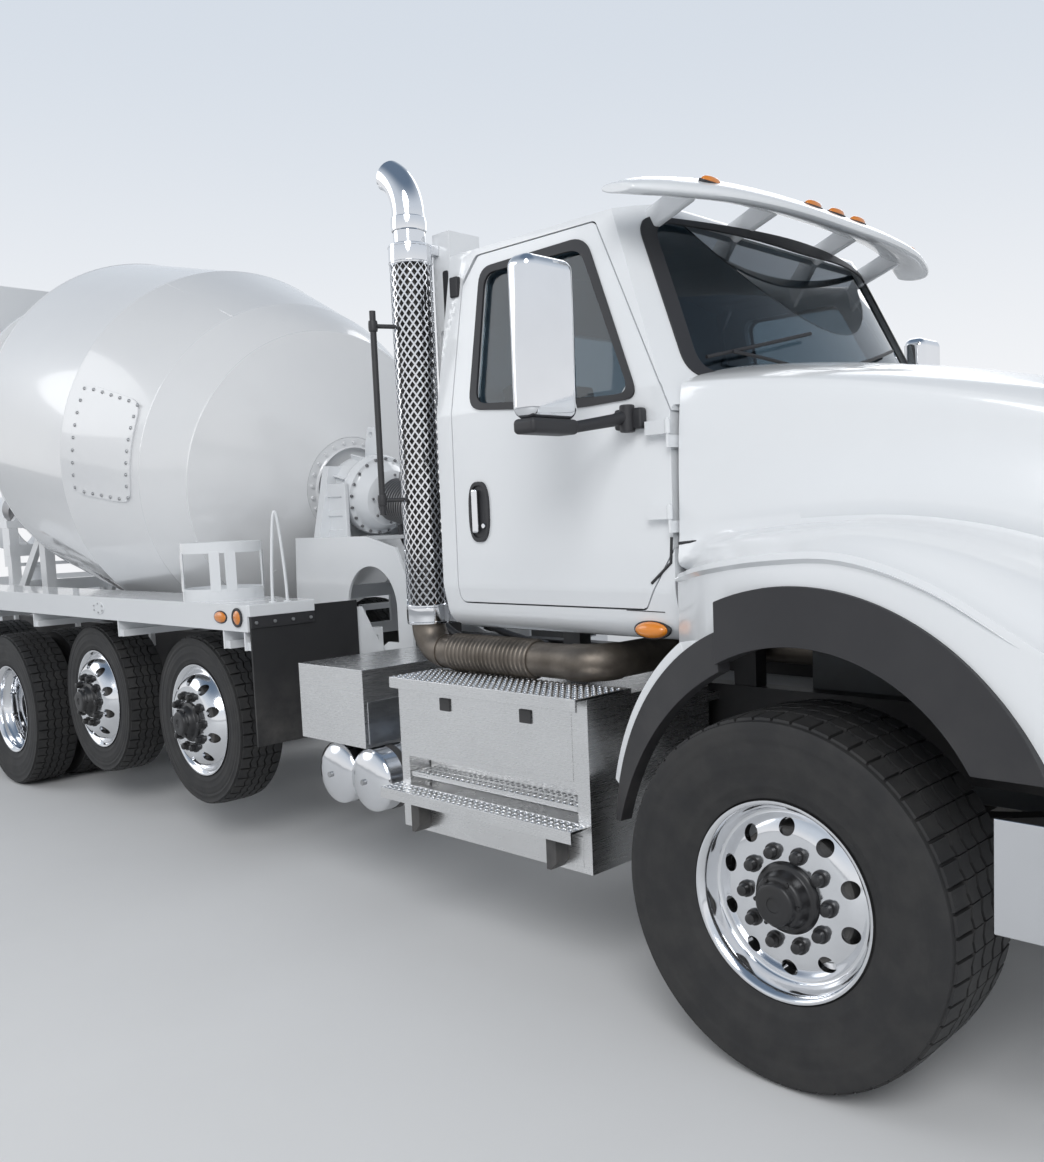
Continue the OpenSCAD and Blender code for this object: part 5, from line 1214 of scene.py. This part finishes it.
# A point of the windscreen from its Y and Z
def screenPoint(y, z, stand):
    lean = math.radians(screenLook["lean"])
    x0, z0 = screenLook["foot"]
    r = screenLook["radius"] + stand
    back = (r - math.sqrt(r * r - y * y)) / math.cos(lean)
    return (axleX + x0 + stand / math.cos(lean) - math.tan(lean) * (z - z0) - back, y, z)


def buildScreenTrim():
    outline = rounded(screenLook["corner"], 0.09, 8)
    dense = []
    for a, b in zip(outline, outline[1:] + outline[:1]):
        parts = max(1, int(math.hypot(b[0] - a[0], b[1] - a[1]) / 0.06))
        dense += [(a[0] + (b[0] - a[0]) * k / parts, a[1] + (b[1] - a[1]) * k / parts) for k in range(parts)]
    inner = inset(dense, screenLook["band"])
    outer = inset(dense, -0.012)
    points = [screenPoint(y, z, 0.003) for y, z in outer + inner]
    parts = [sheetPiece("screenSeal", points, ringFaces(len(dense)), 0.008)]
    # Two wipers parked low on the glass
    for y0, y1 in ((-0.15, -0.72), (0.55, -0.02)):
        foot, tip = screenPoint(y0, 2.150, 0.020), screenPoint(y1, 2.265, 0.024)
        middle = screenPoint((y0 + y1) / 2, 2.225, 0.040)
        parts.append(bar("wiperArm", [foot, middle, tip], 0.006, 3, True))
        blade = [screenPoint(y1 + u, 2.265 + u * 0.22, 0.012) for u in (-0.10, 0.1, 0.3, 0.45)]
        parts.append(bar("blade", blade, 0.007, 3))
    fitted("screenTrim", parts, "chassis", "black_plastic")


buildScreenTrim()
print("cab trim made")

# Steps, boxes and tanks between the cab and the pusher axles
stepLook = {"front": -0.760, "rear": -1.810, "out": 1.195, "pattern": 0.030, "tankEnds": (-2.343, -2.095),
            "tankRows": (-1.06, -0.82), "tankHeight": 0.615}


# A tread plate with rows of raised open rings
def treadPlate(name, low, high):
    parts = [block("tread", low, high, 0.003)]
    pitch = stepLook["pattern"]
    ring = spun("ring", [(0.0050, 0.0006), (0.0062, 0.0028), (0.0080, 0.0030), (0.0105, 0.0)], steps=10)
    nx = int((high[0] - low[0] - 0.03) / pitch)
    ny = max(1, int((high[1] - low[1] - 0.02) / pitch))
    rings = []
    for i in range(nx + 1):
        for j in range(ny + 1):
            rings.append(copied(ring, at(low[0] + 0.015 + i * (high[0] - low[0] - 0.03) / nx,
                                         low[1] + 0.012 + j * (high[1] - low[1] - 0.024) / ny, high[2])))
    bpy.data.objects.remove(ring)
    return joined(name, parts + rings)


def buildSteps():
    front, rear = axleX + stepLook["front"], axleX + stepLook["rear"]
    out = stepLook["out"]
    # Lids and doors laid on the faces of the box, each with its own shut line, then the treads
    parts = [block(*given) for given in (
        ("boxDoor", (rear + 0.020, -out - 0.003, 0.800), (front - 0.075, -out + 0.004, 1.060), 0.003),
        ("kick", (rear + 0.055, -1.090, 0.660), (front - 0.065, -1.082, 0.772), 0.002),
        ("lowPanel", (rear + 0.020, -out - 0.003, 0.500), (front - 0.040, -out + 0.004, 0.612), 0.003))]
    parts += [treadPlate(*given) for given in (
        ("upper", (axleX - 1.790, -1.252, 1.095), (front, -1.000, 1.105)),
        ("lower", (axleX - 1.855, -1.277, 0.640), (front - 0.02, -1.130, 0.650)),
        ("middle", (rear + 0.060, -1.186, 0.706), (front - 0.070, -1.090, 0.711)))]
    parts += [block(*given) for given in (
        ("middleEdge", (rear + 0.056, -1.190, 0.692), (front - 0.066, -1.184, 0.712)),
        ("upperEdge", (axleX - 1.790, -1.254, 1.062), (front, -1.247, 1.106)),
        ("lowerEdge", (axleX - 1.855, -1.279, 0.606), (front - 0.02, -1.272, 0.651)))]
    fitted("stepPlates", parts, "chassis", "brushed_aluminium")
    black = [block("recessBack", (rear + 0.052, -1.083, 0.657), (front - 0.062, -1.081, 0.774), 0)]
    for x in (rear + 0.13, front - 0.16):
        black.append(sidePlate("stepArm", [(x - axleX, 0.600), (x - axleX + 0.05, 0.600),
                                           (x - axleX + 0.05, 0.520),
                                           (x - axleX + 0.02, 0.490), (x - axleX, 0.490)],
                                           -1.262, -1.196, 0.003))
    for x in (rear + 0.30, front - 0.30):
        black.append(block("latch", (x - 0.03, -out - 0.010, 0.985), (x + 0.03, -out - 0.002, 1.035), 0.003))
    fitted("stepBrackets", black, "chassis", "frame_black")
    # Tool box: polished end with its round boss
    box = [moved(spun("boss", [(0, 0.012), (0.030, 0.012), (0.036, 0.008), (0.040, 0.0), (0, 0)], steps=32),
                 at(axleX - 2.0795, -0.95, 0.90) @ turn(90, "Y")),
           block("boxSide", (axleX - 2.0800, -1.160, 0.775), (axleX - 2.0775, -0.640, 0.960), 0.001)]
    fitted("toolBoxTrim", box, "chassis", "polished_aluminium")
    # Bands and fittings of the air tanks
    bands, fittings = [], []
    z = stepLook["tankHeight"]
    for x in stepLook["tankEnds"]:
        for y in stepLook["tankRows"]:
            bands.append(spun("strap", softened([
                (0.1402, -0.016), (0.1435, -0.016), (0.1435, 0.016), (0.1402, 0.016)]),
                at(axleX + x, y, z) @ turn(-90, "X"), 48, True))
        fittings.append(roundStock("port", 0.014, 0.016, at(axleX + x, -1.186, z) @ turn(90, "X"), 0.003, 6))
        fittings.append(roundStock("drain", 0.010, 0.03, at(axleX + x, -0.95, 0.452), 0.002, 16))
    fitted("tankStraps", bands, "chassis", "frame_black")
    fitted("tankFittings", fittings, "chassis", "roller_steel", finish="hatchBolt")


buildSteps()
print("steps and tanks made")

deckLook = {"front": -2.930, "rear": -8.250, "half": 1.220, "top": 1.357, "covers": (-4.60, -6.90),
            "coverSize": (0.075, 0.036), "boltOval": (0.062, 0.026), "coverDrop": 0.065,
            "sideLamp": (-3.015, 0.062), "rearLamps": (0.85, 1.0), "rearLampHeight": 1.291}


def buildDeck():
    x0, half, top = axleX + deckLook["front"], deckLook["half"], deckLook["top"]
    (across, tall), (boltAcross, boltTall) = deckLook["coverSize"], deckLook["boltOval"]
    middle = top - deckLook["coverDrop"]
    lampX, lampDrop = deckLook["sideLamp"]
    white, dark, amber, red, steel = [], [], [], [], []
    for side in (-1, 1):
        # Oval access plates with bolts along the skirt
        for x in deckLook["covers"]:
            oval = [(axleX + x + across * math.cos(t), middle + tall * math.sin(t))
                    for t in (math.tau * k / 32 for k in range(32))]
            cover = plate("cover", oval, 0.005, turn(90, "X"), 0.0015)
            white.append(moved(cover, at(0, side * half + (0.005 if side > 0 else 0.0), 0)))
            for k in range(6):
                t = math.tau * (k + 0.5) / 6
                steel.append(roundStock("bolt", 0.0055, 0.008, outwardFrom(
                    axleX + x + boltAcross * math.cos(t), half + 0.002, middle + boltTall * math.sin(t),
                    side), 0.001, 6))
        # Front lip: black strip with four bolts over the apron
        white.append(sideBlock("lip", side, (x0 - 0.004, 0.86, top - 0.056),
                               (x0 + 0.024, 1.219, top + 0.001), 0.004,
                3))
        dark.append(sideBlock("strip", side, (x0 + 0.0125, 0.86, top - 0.112),
                              (x0 + 0.020, 1.21, top - 0.057), 0.002))
        for k in range(4):
            place = at(x0 + 0.019, side * (0.885 + 0.100 * k), top - 0.086)
            steel.append(roundStock("bolt", 0.009, 0.009, place @ turn(90, "Y"), 0.002, 6))
        # Round side lamps in black collars
        lamp = outwardFrom(axleX + lampX, half, top - lampDrop, side)
        dark.append(spun("collar", softened([(0.034, 0.0), (0.047, 0.0), (0.047, 0.010), (0.034, 0.010)]),
                         lamp, 32,
                True))
        amber.append(spun("lens", [(0, 0.014), (0.024, 0.012), (0.035, 0.006), (0.035, 0.0),
                                   (0, 0.0)], lamp, 32))
        # Rear lamp faces
        for y in deckLook["rearLamps"]:
            red.append(spun("lens", [
                (0, 0.034), (0.030, 0.032), (0.048, 0.027), (0.053, 0.010), (0.053, 0.0), (0, 0)],
                at(axleX + deckLook["rear"], side * y, deckLook["rearLampHeight"]) @ turn(-90, "Y"), 32))
    fitted("deckCovers", white, "chassis", "white_paint")
    fitted("deckStrips", dark, "chassis", "black_plastic")
    fitted("deckLamps", amber, "chassis", "lamp_amber", (), 30)
    fitted("rearLamps", red, "chassis", "lamp_amber", (), 30, finish="redLens")
    fitted("deckBolts", steel, "chassis", "roller_steel", finish="hatchBolt")


buildDeck()
print("deck made")

rackLook = {"place": (-3.520, -1.010), "radius": 0.205, "tall": 0.300,
            "rod": ((-2.985, -1.045), (-2.965, -0.975)), "rodTop": (-2.975, -1.012, 1.800)}


# Bucket rack and hand rod on the front of the right deck
def buildRack():
    x, y = rackLook["place"]
    top, r, h = deckLook["top"], rackLook["radius"], rackLook["tall"]
    place = at(axleX + x, y, top)
    parts = [spun("band", [(r - 0.005, low), (r, low), (r, high), (r - 0.005, high)], place, 64, True)
             for low, high in ((-0.002, 0.062), (h - 0.055, h))]
    for quarter in range(4):
        for shift in (-11, 11):
            slat = block("slat", (r - 0.004, -0.026, 0.05), (r + 0.001, 0.026, h - 0.045), 0.001)
            parts.append(moved(slat, place @ turn(-28 + 90 * quarter + shift, "Z")))
    a, b = ((axleX + u, v) for u, v in rackLook["rod"])
    u, v, w = rackLook["rodTop"]
    path = [(*a, top - 0.004), (*a, top + 0.1), (axleX + u - 0.008, v - 0.012, w - 0.03),
            (axleX + u, v, w + 0.012),
            (axleX + u + 0.008, v + 0.012, w - 0.03), (*b, top + 0.1), (*b, top - 0.004)]
    parts.append(bar("handRod", path, 0.0075, 5, True))
    for p in (a, b):
        parts.append(roundStock("foot", 0.019, 0.006, at(*p, top - 0.001), 0.001, 24))
    fitted("bucketRack", parts, "chassis", "white_paint")


buildRack()

# Dark bulkhead with cable holes inside the pedestal's arch
bulkhead = block("bulkhead", (axleX - 3.255, 0.020, 1.075), (axleX - 2.835, 0.028, 1.600), 0.002)
for k in range(4):
    cut(bulkhead, moved(roundStock("hole", 0.014, 0.2, turn(90, "X"), 0, 20),
                        at(axleX - 3.105 + 0.05 * k, 0.1, 1.20)))
dress(bulkhead, "chassis", "frame_black")
print("rack and bulkhead made")

gearLook = {"fins": 11, "bolts": 20}


# Everything here is turned on the drum's axis, with s measured from its front flange
def buildGearbox():
    axis = drumPlace()
    white = [spun("gearHousing", softened([
        (0.0, -0.083), (0.168, -0.083), (0.172, -0.050), (0.172, -0.025), (0.0, -0.025)], False), axis, 64),
        spun("gearCase", softened([
            (0.0, -0.084), (0.196, -0.084), (0.201, -0.100), (0.201, -0.235), (0.236, -0.246),
            (0.236, -0.322),
            (0.205, -0.326), (0.196, -0.350), (0.150, -0.424), (0.0, -0.424)], False), axis, 96)]
    bolt = roundStock("bolt", 0.0095, 0.014, at(0.219, 0, -0.338), 0.002, 6)
    bolts = [moved(spinCopies(bolt, gearLook["bolts"]), axis)]
    inner = roundStock("bolt", 0.008, 0.012, at(0.140, 0, -0.436), 0.002, 6)
    bolts.append(moved(spinCopies(inner, 8), axis))
    for k in range(8):
        rib = block("rib", (0.150, -0.006, -0.236), (0.228, 0.006, -0.110), 0.003)
        white.append(moved(rib, axis @ turn(45 * k + 22, "Z")))
    fitted("gearCase", white, "chassis", "white_paint", ("drum_drive",), 35)
    # Hydraulic motor with its cooling ribs, ports and hoses
    profile = [(0.0, -0.424), (0.090, -0.424), (0.100, -0.440)]
    n = gearLook["fins"]
    for k in range(n):
        s = -0.455 - 0.235 * k / n
        profile += [(0.104, s), (0.127, s - 0.003), (0.127, s - 0.010), (0.104, s - 0.013)]
    profile += [(0.110, -0.705), (0.126, -0.712), (0.126, -0.738), (0.095, -0.743), (0.0, -0.743)]
    motor = [spun("motor", profile, axis, 64)]
    motor.append(moved(block("port", (-0.045, -0.030, -0.66), (0.045, 0.030, -0.50), 0.008, 3),
            axis @ at(0.128, 0, 0)))
    fitted("driveMotor", motor + bolts, "chassis", "roller_steel", (), 40)
    hoses = []
    for k, dy in enumerate((-0.030, 0.030)):
        start = axis @ Vector((-0.125, dy * 2, -0.60))
        path = [start, start + Vector((0.05, dy, -0.10)), (axleX - 3.00, dy * 3, 1.50 - 0.05 * k),
                (axleX - 2.85, dy * 4, 1.25), (axleX - 2.70, dy * 5 - 0.05, 1.10),
                (axleX - 2.2, dy * 5 - 0.08, 1.06)]
        hoses.append(bar("hose", [tuple(p) for p in path], 0.020, 5, True))
    fitted("driveHoses", hoses, "chassis", "black_plastic", (), 50)
    # Pocketed yoke on both sides and the hook bracket on the bell
    yoke = []
    for side in (-1, 1):
        arm = sideBlock("yoke", side, (axleX - 3.70, 0.236, 1.650), (axleX - 3.46, 0.262, 1.960), 0.006)
        for z in (1.69, 1.80):
            cut(arm, sideBlock("pocket", side, (axleX - 3.67, 0.25, z),
                               (axleX - 3.49, 0.30, z + 0.085), 0.01, 3))
        yoke.append(arm)
    hook = sidePlate("hook", [(-3.60, 2.09), (-3.50, 2.09), (-3.47, 2.20), (-3.50, 2.29), (-3.56, 2.29),
            (-3.59, 2.20)],
                     -0.012, 0.012, 0.004)
    cut(hook, moved(roundStock("eye", 0.018, 0.2, turn(90, "X"), 0, 24), at(axleX - 3.53, 0.1, 2.245)))
    yoke.append(hook)
    fitted("gearYoke", yoke, "chassis", "white_paint", (), 35)


buildGearbox()
print("gearbox made")

noseLook = {"grille": (0.50, 1.055, 1.815), "lamp": (0.700, 0.985, 1.135, 1.345), "bars": 9}


def buildNose():
    x = axleX + 1.0
    hw, g0, g1 = noseLook["grille"]
    # Bright grille surround, cross bars and a dark mesh behind them
    outer = [(-hw, g0), (-hw + 0.05, g1 - 0.03), (-hw + 0.10, g1), (hw - 0.10, g1),
             (hw - 0.05, g1 - 0.03), (hw, g0)]
    surround = plate("surround", outer, 0.012, facingForward, 0)
    inner = plate("tool", inset(outer, 0.035), 0.2, facingForward, 0)
    cut(surround, moved(inner, at(-0.1, 0, 0)))
    bevelled(moved(surround, at(x - 0.004, 0, 0)), 0.004, 2, 40)
    bars = [surround]
    for k in range(noseLook["bars"]):
        z = g0 + 0.06 + (g1 - g0 - 0.10) * k / (noseLook["bars"] - 1)
        w = hw - 0.035 - 0.055 * max(0.0, (z - g0) / (g1 - g0))
        bars.append(block("bar", (x - 0.020, -w, z - 0.011), (x + 0.004, w, z + 0.011), 0.006, 3))
    fitted("grilleBars", bars, "hood", "chrome", ("grille",))
    mesh = [block("backing", (x - 0.030, -hw + 0.03, g0 + 0.01), (x - 0.026, hw - 0.03, g1 - 0.02), 0.001)]
    for k in range(40):
        y = -hw + 0.05 + (2 * hw - 0.10) * k / 39
        mesh.append(block("slat", (x - 0.026, y - 0.002, g0 + 0.02), (x - 0.018, y + 0.002, g1 - 0.03), 0))
    fitted("grilleMesh", mesh, "hood", "black_plastic")
    # Headlamps: dark bowl, two round reflectors and a clear cover
    y0, y1, z0, z1 = noseLook["lamp"]
    for side, word in ((-1, "right"), (1, "left")):
        line = [(side * y, z) for y, z in ((y0, z0), (y0, z1), (y1 - 0.06, z1), (y1, z0))]
        bowl = plate("bowl", inset(line, 0.004), 0.012, facingForward, 0.003)
        dress(moved(bowl, at(x - 0.046, 0, 0)), "hood", "black_plastic")
        bowl.name = f"lampBowl_{word}"
        bright = []
        for y in (0.775, 0.885):
            dish = spun("dish", [(0, -0.030), (0.020, -0.028), (0.036, -0.018), (0.046, 0.0), (0.050, 0.002),
                                 (0.050, -0.004), (0.038, -0.024), (0.0, -0.036)], steps=40)
            bright.append(moved(dish, at(x - 0.010, side * y, 1.235) @ turn(90, "Y")))
        fitted(f"lampDishes_{word}", bright, "hood", "chrome")
        cover = plate("cover", inset(line, 0.002), 0.006, facingForward, 0.002)
        cover = joined(f"lampCover_{word}", [moved(cover, at(x - 0.001, 0, 0))])
        dress(cover, "hood", "lamp_clear", ("headlamps",) if side < 0 else ())


buildNose()
print("nose made")

# Lamps on the visor: y, x, z
lampLook = {"visor": ((-0.740, -0.515, 2.838), (-0.170, -0.456, 2.851), (0.0, -0.454, 2.852),
                      (0.170, -0.456, 2.851), (0.740, -0.515, 2.838)),
            "lean": 24, "cab": (-0.628, 1.322), "deck": (-3.180, 1.292),
            "visorSize": (0.105, 0.044, 0.020), "cabSize": (0.140, 0.058, 0.030),
            "deckSize": (0.112, 0.056, 0.016), "deckOut": 1.2205}


# A low oval lamp with its dark gasket, both lying down, long way across
def ovalLamp(length, width, height):
    lens = spun("lens", [(0, height), (0.45, height * 0.96), (0.75, height * 0.78), (0.93, height * 0.45),
                         (1.0, height * 0.1), (1.0, -0.003), (0, -0.003)], steps=40)
    foot = spun("foot", [(0.90, 0.0035), (1.10, 0.0035), (1.15, 0.0), (1.15, -0.008), (0.90, -0.008)],
                steps=40, closed=True)
    scale = Matrix.Diagonal((width / 2, length / 2, 1, 1))
    return moved(lens, scale), moved(foot, scale)


def buildLamps():
    places = [("visorSize", at(axleX + x, y, z) @ turn(lampLook["lean"], "Y"))
              for y, x, z in lampLook["visor"]]
    for side in (-1, 1):
        x, z = lampLook["cab"]
        places.append(("cabSize", outwardFrom(axleX + x, sideAt(z) + 0.004, z, side) @ turn(90, "Z")))
        x, z = lampLook["deck"]
        places.append(("deckSize", outwardFrom(axleX + x, lampLook["deckOut"], z, side) @ turn(90, "Z")))
    lenses, feet = [], []
    for size, place in places:
        for piece, group in zip(ovalLamp(*lampLook[size]), (lenses, feet)):
            group.append(moved(piece, place))
    fitted("markerLenses", lenses, "chassis", "lamp_amber", ("marker_lamps",), 50)
    fitted("markerFeet", feet, "chassis", "black_plastic", (), 40)


buildLamps()


# Dark grab recesses in the column behind the stack and the stay on the cab's corner
def buildCabStays():
    low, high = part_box("stack_column")
    middle = high[0] - 0.030
    dark = []
    for z0, z1 in ((1.61, 1.89), (2.36, 2.74)):
        outline = [(middle - axleX + u, w) for u, w in rounded(
            ((-0.017, z0), (0.017, z0), (0.017, z1), (-0.017, z1)), 0.012)]
        dark.append(sidePlate("recess", outline, low[1] - 0.0025, low[1] + 0.004, 0.001))
    for side in (-1, 1):
        out = sideAt(2.657)
        dark.append(sideBlock("stay", side, (axleX - 1.668, out - 0.004, 2.615),
                              (axleX - 1.622, out + 0.018, 2.695), 0.005, 3))
    fitted("cabStays", dark, "chassis", "black_plastic")


buildCabStays()
print("lamps made")

# Floor, light and camera
studio = {"floorColor": (0.76, 0.77, 0.78), "floorSize": 90.0, "sky": (0.90, 0.93, 0.97), "light": 0.50,
          "keyPower": 800.0, "fillPower": 240.0}


def buildStudio():
    clearSelection()
    bpy.ops.mesh.primitive_plane_add(size=studio["floorSize"], location=(0, 0, 0))
    floor = settle(bpy.context.object)
    floor.name = "studioFloor"
    floor.data.materials.append(surface(
        "studioFloor", studio["floorColor"], tuple(c * 0.96 for c in studio["floorColor"]), 0.8, 40.0, 0.1,
        {"patinaScale": 0.6}))
    world = bpy.context.scene.world or bpy.data.worlds.new("studio")
    bpy.context.scene.world = world
    world.use_nodes = True
    tree = world.node_tree
    background = tree.nodes["Background"]
    rays = addNode(tree, "LightPath").outputs
    seen = mathNode(tree, "ADD", rays["Is Camera Ray"], mathNode(
        tree, "ADD", rays["Is Glossy Ray"], rays["Is Transmission Ray"]), clamp=True)
    height = addNode(tree, "SeparateXYZ", {0: addNode(tree, "TexCoord").outputs["Generated"]}).outputs[2]
    rise = addNode(tree, "MapRange", {0: height, 1: 0.0, 2: 0.45}, interpolation_type="SMOOTHSTEP").outputs[0]
    shade = mixColor(tree, rise, (0.97, 0.98, 1.0, 1), (0.70, 0.76, 0.84, 1))
    above = addNode(tree, "MapRange", {0: height, 1: 0.42, 2: 0.9},
                    interpolation_type="SMOOTHSTEP").outputs[0]
    shade = mixColor(tree, above, shade, (0.16, 0.22, 0.31, 1))
    tree.links.new(mixColor(tree, seen, (*studio["sky"], 1), shade), background.inputs[0])
    strength = addNode(tree, "MapRange", {0: seen, 3: studio["light"], 4: 0.95})
    tree.links.new(strength.outputs[0], background.inputs[1])
    for name, place, power, size in (
            ("keyLight", (9.5, -9.0, 9.0), studio["keyPower"], 7.0),
            ("fillLight", (-9.0, -8.0, 7.0), studio["fillPower"], 8.0),
            ("backLight", (-2.0, 11.0, 9.0), studio["fillPower"], 8.0)):
        lamp = bpy.data.lights.new(name, "AREA")
        lamp.energy = power
        lamp.shape = "DISK"
        lamp.size = size
        holder = bpy.data.objects.new(name, lamp)
        bpy.context.scene.collection.objects.link(holder)
        holder.location = place
        holder.rotation_euler = (Vector((0.5, 0, 1.2)) - Vector(place)).to_track_quat("-Z", "Y").to_euler()
    bpy.context.scene.view_settings.view_transform = "Standard"


buildStudio()

lens = {"place": (5.878, -3.803, 1.721), "azimuth": -42.967, "elevation": 5.185, "roll": -2.14,
        "focal": 1059.9, "imageHeight": 1162, "shift": (-0.0544, 0.0268)}


def buildCamera():
    turned, raised, rolled = (math.radians(lens[k]) for k in ("azimuth", "elevation", "roll"))
    ahead = Vector((math.sin(turned) * math.cos(raised), math.cos(turned) * math.cos(raised),
                    -math.sin(raised)))
    side = Vector((math.cos(turned), -math.sin(turned), 0))
    upright = side.cross(ahead)
    across = side * math.cos(rolled) + upright * math.sin(rolled)
    upright = across.cross(ahead)
    data = bpy.data.cameras.new("photoCamera")
    data.sensor_width = 36.0
    data.lens = lens["focal"] / lens["imageHeight"] * data.sensor_width
    data.shift_x, data.shift_y = lens["shift"]
    holder = bpy.data.objects.new("photoCamera", data)
    bpy.context.scene.collection.objects.link(holder)
    rows = Matrix((across, upright, -ahead)).transposed().to_4x4()
    holder.matrix_world = Matrix.Translation(lens["place"]) @ rows
    bpy.context.scene.camera = holder


buildCamera()
print("studio and camera ready")
